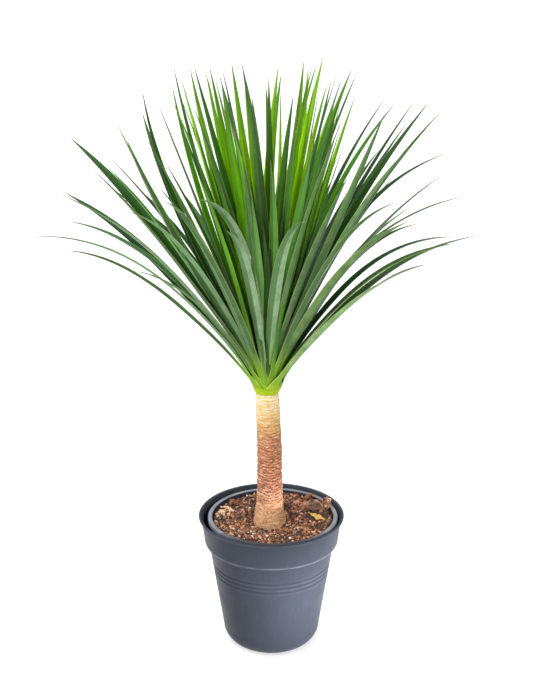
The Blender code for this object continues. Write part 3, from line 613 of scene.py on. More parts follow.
def bark_finish():
    """The stem: a speckled tan foot, cream scars above it, flaky rust brown to two thirds, ochre, and cream with
    ochre lines below the crown. The mark scar holds (height over the compost, depth in the scar, flake)."""
    made, place = new_material("bark")
    height, depth, flake = three_marks(place, "scar")
    wander = (noise(place, 55) - 0.5) * 22
    zone = maths("DIVIDE", height + wander, STEM_TOP - STEM_BASE)
    fibre = noise(stretched(place, (62, 62, 440)), 1, 4, 0.7)
    fleck = noise(stretched(place, (150, 150, 420)), 1, 3, 0.6)
    pale, dark = ramp(zone, BARK_PALE), ramp(zone, BARK_DARK)
    grain = noise(place, 560, 2, 0.8)
    grained = span(zone, 0.24, 0.12, 0.75, 1) * span(zone, 0.76, 0.66, 0.1, 1)
    # The scars' grooves darken with their depth: painted shade
    colour = painted(
        ramp(zone, BARK), (span(fibre, 0.51, 0.64, 0, 0.95), pale),
        (span(fleck, 0.49, 0.37) * span(zone, 0.14, 0.3, 0.45, 0.9), dark),
        (grained * span(grain, 0.5, 0.38, 0, 0.7), dark), (grained * span(grain, 0.54, 0.66, 0, 0.7), pale),
        (span(depth, 0.3, 0.9, 0, 0.9), dark), (span(flake, 0.35, 0.9, 0, 0.5), pale))
    return finished(made, colour, span(fibre, 0.3, 0.7, 0.72, 0.95), fibre + fleck * 0.6, 0.5, 0.0008)


def crumb_finish(name, colour, dark, pale, scale, tones):
    """Peat and bark: a mottled brown whose shade each crumb draws for itself."""
    made, place = new_material(name)
    base = use(place, MOTTLE, Scale=scale, Fine=4, Colour=colour, Dark=dark, Pale=pale)
    tone, height = mark(place, "tone"), base["Height"]
    shaded = painted(base["Colour"], (span(tone, 0, 0.55, 0.95, 0), dark), (span(tone, 0.6, 1, 0, tones), pale),
                     (span(noise(place, 34, 2), 0.56, 0.4, 0, 0.6), dark))
    return finished(made, shaded, span(height, 0.3, 0.7, 0.85, 1), height, 0.6, 0.0012)


def scrap_finish(name, colour, dark, pale):
    """Dry leaf and wood shavings: streaked along their length, with darker spots."""
    made, place = new_material(name)
    streak = noise(stretched(place, (700, 260, 400)), 1, 4, 0.6)
    spot = noise(place, 330, 2)
    base = painted(colour, (span(streak, 0.4, 0.65), pale), (span(spot, 0.44, 0.3, 0, 0.8), dark))
    return finished(made, base, span(spot, 0.3, 0.7, 0.55, 0.85), streak, 0.4, 0.0006)


# Pots

def make_cover_pot():
    """The turned wall: a hollow base, a foot rounded by a quarter circle, three round grooves, the step up to the
    collar, the rolled rim, and the inside down to the raised sill. Its edges are paler, worn and with painted
    highlight, most of all the painted highlight along the collar's step and the back of the rim."""
    corners = [*POT_BASE, *arc(*POT_CORNER, -90, 0, 22)]
    for middle in GROOVES:
        for share in np.linspace(-1, 1, 9):
            height = middle + share * GROOVE_HALF
            dent = GROOVE_DEPTH * (0.5 + 0.5 * math.cos(math.pi * share))
            corners.append((np.interp(height, *POT_BODY) - dent, height, 0))
    corners += [*POT_COLLAR, *arc(*POT_ROLL, -75, 165, 14), *POT_INSIDE]
    profile = refined(rounded(corners), 1.6)
    drop = POT_HEIGHT - profile[:, 1]
    # Paler convex edges, worn and with painted highlight, and a painted highlight line along the collar's step
    wear_and_painted_light = convexity(profile) * np.select([drop < 5, drop < 90], [0.25, 0.12], 0.5)
    wear_and_painted_light += 0.7 * np.exp(-((drop - 37) / 1.2) ** 2) * (profile[:, 0] > 84.6)

    def varied(points, worn):
        # A painted highlight along the top of the rim, strongest at the back and dimmer at the front
        behind = 0.4 + 2.6 * ease(points[:, 1] / 30)
        return worn * np.where(points[:, 2] > POT_HEIGHT - 5, behind, 1)

    return turned("slate_pot", profile, 0, wear_and_painted_light, varied)


def grow_wall_radius(height):
    """Outer radius of the grow pot's wall: two straights that meet at its neck."""
    return np.interp(height, (GROW_FLOOR, GROW_NECK, GROW_RIM_TOP),
                     (GROW_FOOT_RADIUS, GROW_NECK_RADIUS, GROW_TOP_RADIUS))


def make_grow_pot():
    """The thinner turned wall inside: a flat lip with a skirt turned down, and a rounded floor."""
    profile = rounded([
        (0, GROW_FLOOR, 0), (51, GROW_FLOOR, 2), (GROW_NECK_RADIUS, GROW_NECK, 1.5),
        (grow_wall_radius(GROW_LIP), GROW_LIP, 0), (GROW_TOP_RADIUS, 177.5, 0.8), (83.5, 177.5, 0.3),
        (83.5, GROW_LIP, 0.3), (85, GROW_LIP, 0.3), (85, GROW_RIM_TOP, 1.2), (79.4, GROW_RIM_TOP, 1.2),
        (74.5, GROW_NECK, 1.5), (49.5, 13.8, 1.5), (0, 13.8, 0)])

    def varied(points, worn):
        """Painted shade on the front of the lip and on the inner wall below it, kept as a mark below zero."""
        x, y, height = points.T
        front = 0.7 * ease((-y - 50) / 25) * (height > GROW_RIM_TOP - 4)
        within = np.hypot(x - GROW_SHIFT, y) < grow_wall_radius(height) - GROW_WALL / 2
        dark = np.maximum(front, within * ease((GROW_RIM_TOP - 0.3 - height) / 0.8))
        return np.where(dark > 0, -dark, worn)

    # Paler convex edges and a paler flat top of the lip, worn and with painted highlight
    wear_and_painted_light = np.maximum(0.75 * convexity(profile), 0.8 * (profile[:, 1] > GROW_RIM_TOP - 0.3))
    return turned("nursery_pot", profile, GROW_SHIFT, wear_and_painted_light, varied)


# Compost

def resting_spots():
    """Where pieces lie on the compost, as rows (x, y, radius)."""
    spots = [(at[0], at[1], max(half[:2])) for at, half, _ in CLOD_LUMPS + (BARK_CHUNK,)]
    for outline in (DRY_FLAKE,) + PALE_SCRAPS:
        points = np.array(outline)
        middle = points.mean(axis=0)
        spots.append((*middle, np.linalg.norm(points - middle, axis=1).max()))
    return spots


def clearance(x, y):
    """How far a place is from the nearest piece that lies on the compost."""
    return np.min([np.hypot(x - a, y - b) - r for a, b, r in resting_spots()], axis=0)


def soil_room(x, y):
    """How far a place is from the grow pot's wall."""
    return grow_wall_radius(SOIL_TOP) - GROW_WALL - np.hypot(x - GROW_SHIFT, y)


def soil_height(x, y):
    """The compost's level less its dip round the stem, with lumps of three sizes that fade out where a piece
    lies."""
    flat = np.stack([x, y, np.zeros_like(x)], -1)
    calm = np.clip(clearance(x, y) / 5, 0.15, 1)
    share = ease((np.hypot(x, y) - DIP_FROM) / (DIP_TO - DIP_FROM))
    lumps = 1.5 * rough(flat, 22, 3) + 1.1 * layered(flat, 7, 3, 5) - np.abs(rough(flat, 4, 9))
    return SOIL_TOP - SOIL_DIP * (1 - share) + lumps * calm


def on_soil(x, y, above):
    return np.stack([x, y, soil_height(x, y) + above], -1)


def make_compost():
    """The root ball: turned sides below, and a top whose rings pass evenly from the grow pot's wall to the hole
    round the stem, with the compost's height at each point."""
    wall = GROW_WALL + 0.5
    edge = grow_wall_radius(SOIL_TOP) - wall
    low, floor = GROW_FLOOR + GROW_WALL + 0.3, STEM_BASE - STEM_BURIED - 0.3
    sides = [(GROW_FOOT_RADIUS - 4.6, low), (GROW_FOOT_RADIUS - 2.2, low + 3),
             (GROW_NECK_RADIUS - wall, GROW_NECK), (edge, SOIL_TOP - 2.5)]
    around = circle(SOIL_TURNS)

    def level(flat, height):
        return np.column_stack([flat, np.full(SOIL_TURNS, height)])

    rings = [level(around * radius + (GROW_SHIFT, 0), height) for radius, height in sides]
    outer = around * edge + (GROW_SHIFT, 0)
    inner = around * (STEM_FOOT_RADIUS - 1) + (STEM_AT, 0)
    for share in np.linspace(0.004, 1, SOIL_RINGS):
        rings.append(on_soil(*(outer * (1 - share) + inner * share).T, 0))
    rings.append(level(inner, floor))
    points, faces = closed_rings(np.array(rings), (GROW_SHIFT, 0, low), (STEM_AT, 0, floor))
    return add_piece("root_ball", points, faces, {"tone": 0.08 + 0.2 * rough(points, 9, 21)})


def small_lump(detail, seed, bump=0.35):
    """A ball of few faces, pushed in and out by noise: an octahedron whose faces are split and pressed onto the
    sphere."""
    points = np.array([(1, 0, 0), (0, 1, 0), (-1, 0, 0), (0, -1, 0), (0, 0, 1), (0, 0, -1)], float)
    faces = np.array([(0, 1, 4), (1, 2, 4), (2, 3, 4), (3, 0, 4), (1, 0, 5), (2, 1, 5), (3, 2, 5), (0, 3, 5)])
    for _ in range(detail):
        edges = np.sort(np.concatenate([faces[:, (0, 1)], faces[:, (1, 2)], faces[:, (2, 0)]]), axis=1)
        kinds, which = np.unique(edges, axis=0, return_inverse=True)
        ab, bc, ca = which.ravel().reshape(3, -1) + len(points)
        points = np.concatenate([points, unit(points[kinds[:, 0]] + points[kinds[:, 1]])])
        a, b, c = faces.T
        faces = np.concatenate([np.stack(rows, -1) for rows in ((a, ab, ca), (ab, b, bc), (ca, bc, c),
                                                                (ab, bc, ca))])
    push = 1 + bump * layered(points + seed * 7.3, 0.9, 2, seed)
    return points * push[:, None], faces


def turns(draws):
    """Random turns as matrices, from three draws each: a unit quaternion evenly spread over all turns."""
    u, v, w = draws.T
    a, b = np.sqrt(1 - u), np.sqrt(u)
    x, y = a * np.sin(2 * math.pi * v), a * np.cos(2 * math.pi * v)
    z, s = b * np.sin(2 * math.pi * w), b * np.cos(2 * math.pi * w)
    return np.moveaxis(np.array([
        [1 - 2 * (y * y + z * z), 2 * (x * y - z * s), 2 * (x * z + y * s)],
        [2 * (x * y + z * s), 1 - 2 * (x * x + z * z), 2 * (y * z - x * s)],
        [2 * (x * z - y * s), 2 * (y * z + x * s), 1 - 2 * (x * x + y * y)]]), -1, 0)


def copies(shape, faces, stretch, matrices, places, tones):
    """A shape once for each place, scaled on three axes, turned and moved: points, faces and tones."""
    world = np.einsum("nij,nvj->nvi", matrices, shape[None] * stretch[:, None]) + places[:, None]
    return world.reshape(-1, 3), *repeated([faces], len(places), len(shape)), np.repeat(tones, len(shape))


def add_parts(name, parts, crease):
    """One piece of several parts (points, faces, tones)."""
    points, faces, tones = zip(*parts)
    starts = np.cumsum([0, *map(len, points)])
    faces = np.concatenate([own + start for own, start in zip(faces, starts)])
    return add_piece(name, np.concatenate(points), [faces], {"tone": np.concatenate(tones)}, crease)


def scattered(name, places, sizes, draw, kinds=6, bump=0.35, flatness=(0.55, 1.0), crease=None):
    """Small lumps of a few kinds, each scaled on three axes, turned, and set at its place."""
    count = len(places)
    stretch = sizes[:, None] * draw.uniform(*flatness, (count, 3))
    matrices = turns(draw.uniform(0, 1, (count, 3)))
    kind = draw.randint(0, kinds, count)
    tones = draw.uniform(0, 1, count)
    return add_parts(name, [
        copies(*small_lump(1, k + 1, bump), *(rows[kind == k] for rows in (stretch, matrices, places, tones)))
        for k in range(kinds)], crease)


def spots_on_soil(draw, count, margin, near_stem):
    """Seeded places on the compost between the stem and the wall, clear of the pieces that lie on it."""
    radius = (soil_room(GROW_SHIFT, 0) - margin) * np.sqrt(draw.uniform(0, 1, count * 2))
    angle = draw.uniform(0, 2 * math.pi, count * 2)
    x, y = GROW_SHIFT + radius * np.cos(angle), radius * np.sin(angle)
    free = (np.hypot(x - STEM_AT, y) > STEM_FOOT_RADIUS + near_stem) & (clearance(x, y) > -1.5)
    return x[free][:count], y[free][:count]


def make_crumbs():
    """Crumbs of peat and bark, sunk by a third: many small ones, some nearly twice as large, and one clump."""
    draw = np.random.RandomState(5)
    x, y = spots_on_soil(draw, CRUMBS, 2.5, 1.5)
    size = 0.8 + 1.6 * draw.uniform(0, 1, len(x)) ** 2.2
    size[draw.uniform(0, 1, len(x)) > 0.93] *= 1.8
    size = np.minimum(size, 0.8 * soil_room(x, y))
    size = np.minimum(size, 0.4 + 0.5 * (np.hypot(x - STEM_AT, y) - STEM_FOOT_RADIUS))
    clump = CLUMP_AT + unit(draw.normal(0, 1, (CLUMP_CRUMBS, 3))) * (4.2, 3, 3)
    places = np.append(on_soil(x, y, 0.25 * size), clump, 0)
    size = np.append(size, draw.uniform(2, 3.4, CLUMP_CRUMBS))
    return scattered("crumbs", places, size, draw, 12, 0.8, (0.4, 1.1), 28)


def make_perlite():
    """White beads of perlite among the crumbs, more of them at the left."""
    draw = np.random.RandomState(8)
    x, y = spots_on_soil(draw, PERLITE * 2, 3, 2.5)
    kept = draw.uniform(0, 1, len(x)) < np.where(x < -20, 0.8, 0.3)
    x, y = x[kept], y[kept]
    size = 0.7 + 1.3 * draw.uniform(0, 1, len(x)) ** 2
    return scattered("perlite", on_soil(x, y, 1.1), size, draw, bump=0.25, flatness=(0.8, 1.05))


def make_chips():
    """Torn flat wood chips round the shavings."""
    draw = np.random.RandomState(31)
    x, y = (CHIPS_AT + draw.normal(0, 1, (CHIPS * 2, 2)) * (6, 8)).T
    inside = soil_room(x, y) > 3
    x, y = x[inside][:CHIPS], y[inside][:CHIPS]
    size = draw.uniform(1.4, 3.2, len(x))
    return scattered("chips", on_soil(x, y, 1.7), size, draw, 8, 0.6, (0.22, 1.1), 28)


def make_fibres():
    """Short fibres of coir: three-sided threads, each bent by a middle point set off its line."""
    draw = np.random.RandomState(13)
    x, y = spots_on_soil(draw, FIBRES, 6, 3)
    count = len(x)
    angle = draw.uniform(0, 2 * math.pi, count)
    length = draw.uniform(4, 10, count)[:, None, None]
    heading = np.stack([np.cos(angle), np.sin(angle), draw.uniform(-0.15, 0.25, count)], -1)
    bow = np.cross(heading, UP) * draw.uniform(-0.25, 0.25, (count, 1))
    bow += UP * draw.uniform(0.05, 0.25, (count, 1))
    share = np.linspace(-0.5, 0.5, 6)[None, :, None]
    line = on_soil(x, y, 1.6)[:, None] + heading[:, None] * share * length
    line = line + bow[:, None] * (0.25 - share ** 2) * length
    side = unit(np.cross(heading, UP))[:, None]
    thick = 0.16 * np.array((0.5, 1, 1, 1, 0.8, 0.3))[None, :, None]
    points = np.stack([line + (side * math.cos(a) + UP * math.sin(a)) * thick for a in (0.5, 2.6, 4.7)], 2)
    faces = repeated([ring_faces(6, 3), np.array([(2, 1, 0), (15, 16, 17)])], count, 18)
    tones = np.repeat(draw.uniform(0.3, 1, count), 18)
    return add_piece("fibres", points.reshape(-1, 3), faces, {"tone": tones})


# Stem

def make_stem():
    """Rings up the stem. The radius flares at the foot, with root knuckles, and slims to the top; above the
    smooth foot each leaf scar is a sloping step whose line wanders round the stem, and flakes lift from it by
    noise."""
    bottom = STEM_BASE - STEM_BURIED
    heights = np.concatenate([np.linspace(bottom, STEM_BASE - 3, 12),
                              np.linspace(STEM_BASE - 2, STEM_TOP, STEM_RINGS)])
    height, turn = np.meshgrid(heights, np.linspace(0, 2 * math.pi, STEM_TURNS, endpoint=False), indexing="ij")
    above = height - STEM_BASE
    share = np.clip(above / (STEM_TOP - STEM_BASE), 0, 1)
    round_x, round_y = np.cos(turn), np.sin(turn)
    about = np.stack([round_x * 16, round_y * 16, height], -1)
    knuckles = np.sin(5 * turn + 0.6)
    ringed = ease((above - 24) / 14)
    wander = 2.1 * rough(about * (0.6, 0.6, 0.25), 9, 31) + 0.7 * rough(about, 5, 32)
    scar = ((above + wander) / SCAR_PITCH) % 1
    lip = np.where(scar < 0.78, scar / 0.78, (1 - scar) / 0.22)
    worn = 0.55 + 0.45 * rough(about, 14, 37)
    flaky = ringed * ease((0.72 - share) / 0.12)
    flake = np.clip(layered(about * (1, 1, 2.4), 5, 3, 41), -1, 1)
    radius = between((STEM_WAIST_RADIUS, STEM_TOP_RADIUS), share)
    radius += (STEM_FOOT_RADIUS - STEM_WAIST_RADIUS) * np.exp(-((share / 0.14) ** 1.3))
    radius += 0.7 * knuckles * np.exp(-share / 0.09)
    radius += 0.6 * np.clip(knuckles * np.exp(-((above - 4) / 5) ** 2), 0, 1)
    radius += 0.9 * layered(about, 6, 2, 51) * np.exp(-share / 0.07)
    radius += ringed * worn * (lip - 0.6) * (1.1 + 0.7 * flaky)
    radius += flaky * 0.9 * flake + (0.5 - 0.15 * ringed) * layered(about, 3.2, 2, 47)
    radius -= 6 * ease((-30 - above) / 12) + 0.8 * ease((height - STEM_TOP) / 5 + 1)
    middle = between((STEM_AT, STEM_TOP_AT), share) + STEM_BELLY * np.sin(math.pi * share)
    rings = np.stack([middle + radius * round_x, radius * round_y, height], -1)
    points, faces = closed_rings(rings, (STEM_AT, 0, bottom), (STEM_TOP_AT, 0, STEM_TOP))
    scars = np.stack([above, ringed * (1 - lip) ** 2, np.clip(flake, 0, 1) * flaky], -1).reshape(-1, 3)
    scars = np.concatenate([scars, [(0, 0, 0), (STEM_TOP - STEM_BASE, 0, 0)]])
    return add_piece("trunk", points, faces, {"scar": scars})


# Leaves

def seen_point(across, up, depth):
    """The point at that depth (Y) which the eye sees so far across and up from the crown's foot: the sight line
    followed until it gets there."""
    view_up = np.array((0, math.sin(EYE_PITCH), math.cos(EYE_PITCH)))
    ray = CROWN_FOOT + np.array((1, 0, 0)) * across * CM + view_up * up * CM - EYE
    return EYE + ray * ((depth - EYE[1]) / ray[1])


def seen_leaf(across, up, back, width, *middle):
    """A leaf (tip, width, middle) whose tip lies on its sight line, and whose middle may be empty."""
    return seen_point(across, up, back * CM), width, middle


def leant_leaf(turn, lean, length):
    """A leaf whose tip stands off the crown's foot by a turn from the back, a lean from upright and a length."""
    away = np.array((math.sin(turn) * math.sin(lean), math.cos(turn) * math.sin(lean), math.cos(lean)))
    return CROWN_FOOT + away * length, OTHER_WIDTH, ()


def leaf_tips():
    """Every leaf of the solids: those that the photograph shows, and those of the heart and the back, which
    follow the golden angle."""
    rows = [seen_leaf(*tip) for tip in LEFT_TIPS + TOP_TIPS + RIGHT_TIPS + FOLDED_TIPS]
    for k in range(YOUNG_LEAVES):
        share = k / (YOUNG_LEAVES - 1)
        rows.append(leant_leaf(k * GOLDEN_ANGLE, math.radians(between(YOUNG_LEAN, share)),
                               between(YOUNG_LENGTH, share)))
    for k in range(REAR_LEAVES):
        turn = ((k * GOLDEN_ANGLE / math.pi) % 2 - 1) * REAR_SPREAD
        rows.append(leant_leaf(turn, math.radians(between(REAR_LEAN, k / (REAR_LEAVES - 1))),
                               between(REAR_LENGTH, (k * 5) % REAR_LEAVES / REAR_LEAVES)))
    return rows


def slim_tips():
    """Narrow leaves between each two neighbours of the top, and a few bright ones in the heart; none crosses the
    two clear gaps."""
    draw = np.random.RandomState(17)
    rows = [seen_leaf(*tip) for tip in SLIM_TIPS]
    top = sorted(tip[:4] for tip in TOP_TIPS)
    pairs = list(zip(top[:-1], top[1:])) + list(zip(top[:-2], top[2:]))[::2]
    for (a, up_a, back_a, _), (b, up_b, back_b, _) in pairs:
        across, up = (a + b) / 2 + draw.uniform(-0.3, 0.3), min(up_a, up_b) - draw.uniform(0, 4)
        back, width = (back_a + back_b) / 2 + draw.uniform(-3, 3), draw.uniform(*SLIM_WIDTH)
        if not any(low < across < high for low, high in SLIM_GAPS):
            rows.append(seen_leaf(across, up, back, width))
    return rows


def leaf_lines(rows, seed):
    """The leaves from the lowest to the youngest, by their angle from the crown's axis, with their draws. Each
    springs from a ring round that axis which narrows and rises from leaf to leaf, and arches more the further
    it leans, unless it has a middle to pass through."""
    lean = np.arccos(unit(np.array([row[0] for row in rows]) - CROWN_FOOT) @ CROWN_AXIS)
    rows = [rows[i] for i in np.argsort(-lean, kind="stable")]
    draw = np.random.RandomState(seed)
    tip, width = np.array([row[0] for row in rows]), np.array([row[1] for row in rows])
    rank = np.arange(len(rows)) / (len(rows) - 1)
    away = tip - CROWN_FOOT
    out = unit(away - (away @ CROWN_AXIS)[:, None] * CROWN_AXIS)
    rise = ROOT_LOW + ROOT_RISE * rank ** 1.3
    root = CROWN_FOOT + out * (ROOT_RADIUS * (1 - rank) ** 0.6)[:, None] + rise[:, None] * CROWN_AXIS
    chord = tip - root
    length = np.linalg.norm(chord, axis=1)
    side = unit(np.cross(chord, UP))
    lift = unit(np.cross(side, chord))
    droop = 0.03 + 0.16 * (np.degrees(np.arccos(chord[:, 2] / length)) / 60) ** 2
    draws = draw.uniform(-1, 1, (len(rows), 4)) * (ARCH_RANGE, SWAY_RANGE, ROLL_RANGE, TWIST_RANGE)
    arch, sway = (droop + draws[:, 0])[:, None], draws[:, 1:2]
    roll, twist = np.radians(draws[:, 2:]).T
    bend = root + chord * BEND_AT + (lift * arch + side * sway) * length[:, None]
    for i, (_, _, middle) in enumerate(rows):
        if middle:
            depth = between((root[i, 1], tip[i, 1]), MIDDLE_DEPTH)
            bend[i] = 2 * seen_point(*middle, depth) - (root[i] + tip[i]) / 2
    return {"root": root, "bend": bend, "tip": tip, "side": side, "width": width, "roll": roll, "twist": twist,
            "rank": rank, "lean": np.degrees(np.sort(lean)[::-1])}


def leaf_width(full, t, rank):
    """A clasping base, a narrow neck, the full blade a third of the way up, then a long taper: one less a power of
    the share left."""
    blade = np.where(t < FULL_AT, between((NECK_SHARE, 1), ease(t / FULL_AT)),
                     1 - np.clip((t - FULL_AT) / (1 - FULL_AT), 0, 1) ** TAPER)
    clasp = np.exp(-((t / CLASP_REACH) ** 2)) * (1 - 0.5 * rank)
    return full * blade * (1 - clasp) + SHEATH_WIDTH * clasp


def leaf_looks(tip, lean):
    """Each leaf's age, draw and bloom_and_painted_light. Leaves age with their lean, more so at the right, and a
    good quarter of those outside the heart is darker. Old leaves in front and those that arch low carry a glaucous
    coat with painted sheen, all others stand in painted shade, deepest in the heart, and the folded ones in front
    are painted bright, with strong painted sheen."""
    draw, count = np.random.RandomState(29), len(lean)
    right = 0.28 * ease(tip[:, 0] / 120) * ease((lean - 14) / 12)
    ages = np.clip((lean - YOUNG_WITHIN) / OLD_OVER + right + draw.uniform(-0.15, 0.15, count), 0, 1)
    draws = draw.uniform(0, 1, count)
    draws = np.where(ages < 0.22, 0.3 + 0.7 * draws, draws)
    dark = (draw.uniform(0, 1, count) < 0.28) & (lean > 13)
    ages, draws = np.where(dark, np.clip(ages + 0.42, 0, 1), ages), np.where(dark, 0.6 * draws, draws)
    # Painted sheen with the glaucous coat on old leaves whose tips face the front and on those that arch low; the
    # others get painted shade, deepest in the heart, kept below zero
    facing = np.clip(-(tip - CROWN_FOOT)[:, 1] / 200, 0, 1)
    arching = 0.35 * ease((lean - 48) / 12)
    bloom_and_painted_light = np.clip(0.8 * facing * ages + arching + draw.uniform(-0.2, 0.15, count), 0, 0.8)
    deep = np.maximum(ease((30 - lean) / 14), 0.6) * (1 - facing)
    bloom_and_painted_light = np.where(bloom_and_painted_light > 0.12, bloom_and_painted_light, -deep)
    # The folded leaves in front are painted bright, with strong painted sheen
    folded = (np.abs(tip[:, 0]) < 100) & (tip[:, 1] < -180)
    return np.stack([ages, np.where(folded, 0.85, draws), np.where(folded, 0.75, bloom_and_painted_light)], -1)


def make_leaves():
    """Blades: a line from root to tip that one point off it bends as a parabola, with sections of an upper face
    that dishes to a rounded V and a lower face that is thickest at the midrib, rolled and twisted along the
    line. Every blade ends in a point."""
    full, slim = leaf_lines(leaf_tips(), SEED), leaf_lines(slim_tips(), SEED + 1)
    high = (full["tip"] - CROWN_FOOT)[:, 2] > 340
    low_right = (full["lean"] > 44) & (full["tip"][:, 0] > 0)
    full["width"] = full["width"] * np.where(high, TOP_SLIMMING, 1) * np.where(low_right, LOW_WIDENING, 1)
    slim["rank"] = 0.72 + 0.28 * slim["rank"]
    leaf = {key: np.concatenate([full[key], slim[key]]) for key in full}
    count = len(leaf["rank"])
    t = np.concatenate([[0, 0.012, 0.026, 0.042, 0.06, 0.085, 0.115], np.linspace(0.15, 0.93, 20),
                        [0.955, 0.975, 0.99]])
    share = t[None, :, None]
    root, bend, tip, aside = (leaf[key][:, None] for key in ("root", "bend", "tip", "side"))
    centre = root * (1 - share) ** 2 + bend * 2 * share * (1 - share) + tip * share ** 2
    away = tip - root
    out = unit(away - np.sum(away * CROWN_AXIS, -1, keepdims=True) * CROWN_AXIS)
    held = RISE_FIRST * ease(share / 0.05) * (1 - ease((share - 0.08) / 0.3))
    centre = centre - out * held * np.sin(np.radians(leaf["lean"]))[:, None, None]
    along = unit(np.gradient(centre, t, axis=1))
    side = unit(aside - along * np.sum(aside * along, -1, keepdims=True))
    upper = np.cross(side, along)
    turn = leaf["roll"][:, None] * np.minimum(t / 0.15, 1) + leaf["twist"][:, None] * t
    cosine, sine = np.cos(turn)[..., None], np.sin(turn)[..., None]
    across, above = side * cosine + upper * sine, upper * cosine - side * sine
    half = 0.5 * leaf_width(leaf["width"][:, None], t[None], leaf["rank"][:, None])
    trough = half * between(TROUGH, t)
    thick = LEAF_THICK * (1 - 0.4 * t) * np.minimum(1, half / 3)
    upside, underside = (-1, -0.94, -0.7, -0.35, 0, 0.35, 0.7, 0.94, 1), (0.94, 0.6, 0.2, 0, -0.2, -0.6, -0.94)
    spots = np.array(upside + underside)
    is_under = np.repeat((0.0, 1.0), (len(upside), len(underside)))
    keel = is_under * (1 - np.abs(spots) ** 2.2 * 0.82) * (1 + 0.5 * np.exp(-(spots / 0.16) ** 2))
    ripple = 0.25 * rough(np.stack(np.broadcast_arrays(
        t[None] * 9, np.arange(count)[:, None] * 3.7, 0.0), -1), 1.0, 3)
    lift = (trough[..., None] * np.abs(spots) ** 1.45 - thick[..., None] * keel
            + ripple[..., None] * spots ** 2)
    points = (centre[:, :, None] + across[:, :, None] * (half[..., None, None] * spots[:, None])
              + above[:, :, None] * lift[..., None])
    blades = np.concatenate([points.reshape(count, -1, 3), root, tip], 1)
    size = blades.shape[1]
    faces = closed_rings(points[0], root[0, 0], tip[0, 0])[1]
    place = np.stack(np.broadcast_arrays((spots + 1) / 2, t[:, None], is_under), -1).reshape(-1, 3)
    place = np.concatenate([place, [(0.5, 0, 0), (0.5, 1, 0)]])
    core_points, core_faces, core_marks = core_shape()
    faces = [np.concatenate([block, core + count * size])
             for block, core in zip(repeated(faces, count, size), core_faces)]
    marks = {"blade": np.concatenate([np.tile(place, (count, 1)), core_marks]),
             "look": np.concatenate([np.repeat(leaf_looks(leaf["tip"], leaf["lean"]), size, axis=0),
                                     np.tile(CORE_LOOK, (len(core_points), 1))])}
    return add_piece("foliage", np.concatenate([blades.reshape(-1, 3), core_points]), faces, marks, 62)


def core_shape():
    """The growing tip that the leaf bases wrap: rings round the crown's own axis, and round its foot a cup of
    sheaths whose rim rises and falls in folds, with a pale edge."""
    angles = np.linspace(0, 2 * math.pi, CORE_TURNS, endpoint=False)
    heights = np.concatenate([np.linspace(0, 20, 60), np.linspace(21, 78, 20)])
    height = np.repeat(heights[:, None], CORE_TURNS, 1)
    rim = CUP_LOW + CUP_SWING * np.abs((angles * CUP_FOLDS / math.pi + 0.35) % 2 - 1)
    inside = ease((rim - height) / 0.7)
    radius = between((np.interp(height, *CORE), np.interp(height, *CUP)), inside)
    around = np.column_stack([circle(CORE_TURNS), np.zeros(CORE_TURNS)])
    rings = CROWN_FOOT + around * radius[..., None] + CROWN_AXIS * height[..., None]
    edge = np.exp(-((rim - height - 0.5) / 0.6) ** 2)
    marks = np.stack([0.5 + 0.5 * edge, height / CORE[0][-1] * 0.2, 1 - inside], -1).reshape(-1, 3)
    return (*closed_rings(rings, CROWN_FOOT, CROWN_FOOT + CROWN_AXIS * 79),
            np.concatenate([marks, [(0.5, 0, 1), (0.5, 0.2, 1)]]))


# What lies on the compost

def make_lump_pile(name, lumps, seed, crumbs):
    """A broken lump: balls pressed to their half sizes and roughened, with crumbs set all over them, and all
    of it flattened just below the compost's top."""
    draw = np.random.RandomState(seed)
    parts = []
    for k, (at, half, lean) in enumerate(lumps):
        cosine, sine = math.cos(math.radians(lean)), math.sin(math.radians(lean))
        turn = np.array(((cosine, 0, sine), (0, 1, 0), (-sine, 0, cosine))).T
        shape, faces = small_lump(4, seed + k, 0)
        push = 0.86 + 0.42 * layered(shape + k * 5.1, 0.8, 4, seed)
        world = (shape * push[:, None] * half) @ turn + at
        parts.append((world, faces, 0.4 + 0.35 * rough(world, 5, seed)))
        heading = unit(draw.normal(0, 1, (crumbs, 3)))
        size = 0.9 + 1.4 * draw.uniform(0, 1, crumbs) ** 2
        matrices = turns(draw.uniform(0, 1, (crumbs, 3)))
        stretch = size[:, None] * draw.uniform(0.5, 1.05, (crumbs, 3))
        parts.append(copies(*small_lump(1, seed + 9 + k), stretch, matrices,
                            (heading * (0.84 * np.array(half))) @ turn + at, draw.uniform(0, 1, crumbs)))
    for points, _, _ in parts:
        points[:, 2] = np.maximum(points[:, 2], SOIL_TOP - 1.5)
    return add_parts(name, parts, 35)


def make_scrap(name, outline, thick, curl, seed):
    """A thin torn scrap: rings that shrink from its ragged outline to its middle, on an upper and a lower face,
    both lifted by a slow curl and a fine crinkle."""
    corners = np.array(outline, float)
    shares = np.linspace(0, 1, 7, endpoint=False)[None, :, None]
    edge = between((corners[:, None], np.roll(corners, -1, axis=0)[:, None]), shares).reshape(-1, 2)
    middle = edge.mean(axis=0)

    def flat(points):
        return np.column_stack([points, np.zeros(len(points))])

    edge = middle + (edge - middle) * (1 + 0.05 * rough(flat(edge), 1.1, seed))[:, None]
    rings = []
    steps = np.linspace(0.12, 1, 6)
    for face, shrink in [(-1, step) for step in steps] + [(1, step) for step in steps[::-1]]:
        spot = middle + (edge - middle) * shrink
        lift = curl * ((spot - middle) ** 2).sum(axis=1) / 10000 + 0.5 * layered(flat(spot), 6, 3, seed)
        lift += face * thick / 2 * (1 if shrink < 1 else 0.4)
        rings.append(np.column_stack([spot, SOIL_TOP + 1.4 + lift]))
    ends = [(*middle, ring[:, 2].mean()) for ring in (rings[0], rings[-1])]
    return add_piece(name, *closed_rings(np.array(rings), *ends), crease=50)


def dress(piece, node, finish):
    """Give a piece its finish and its body, and put it in its node's place where it has one."""
    piece.data.materials.append(finish)
    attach(piece, "root")
    if node:
        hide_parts(node)


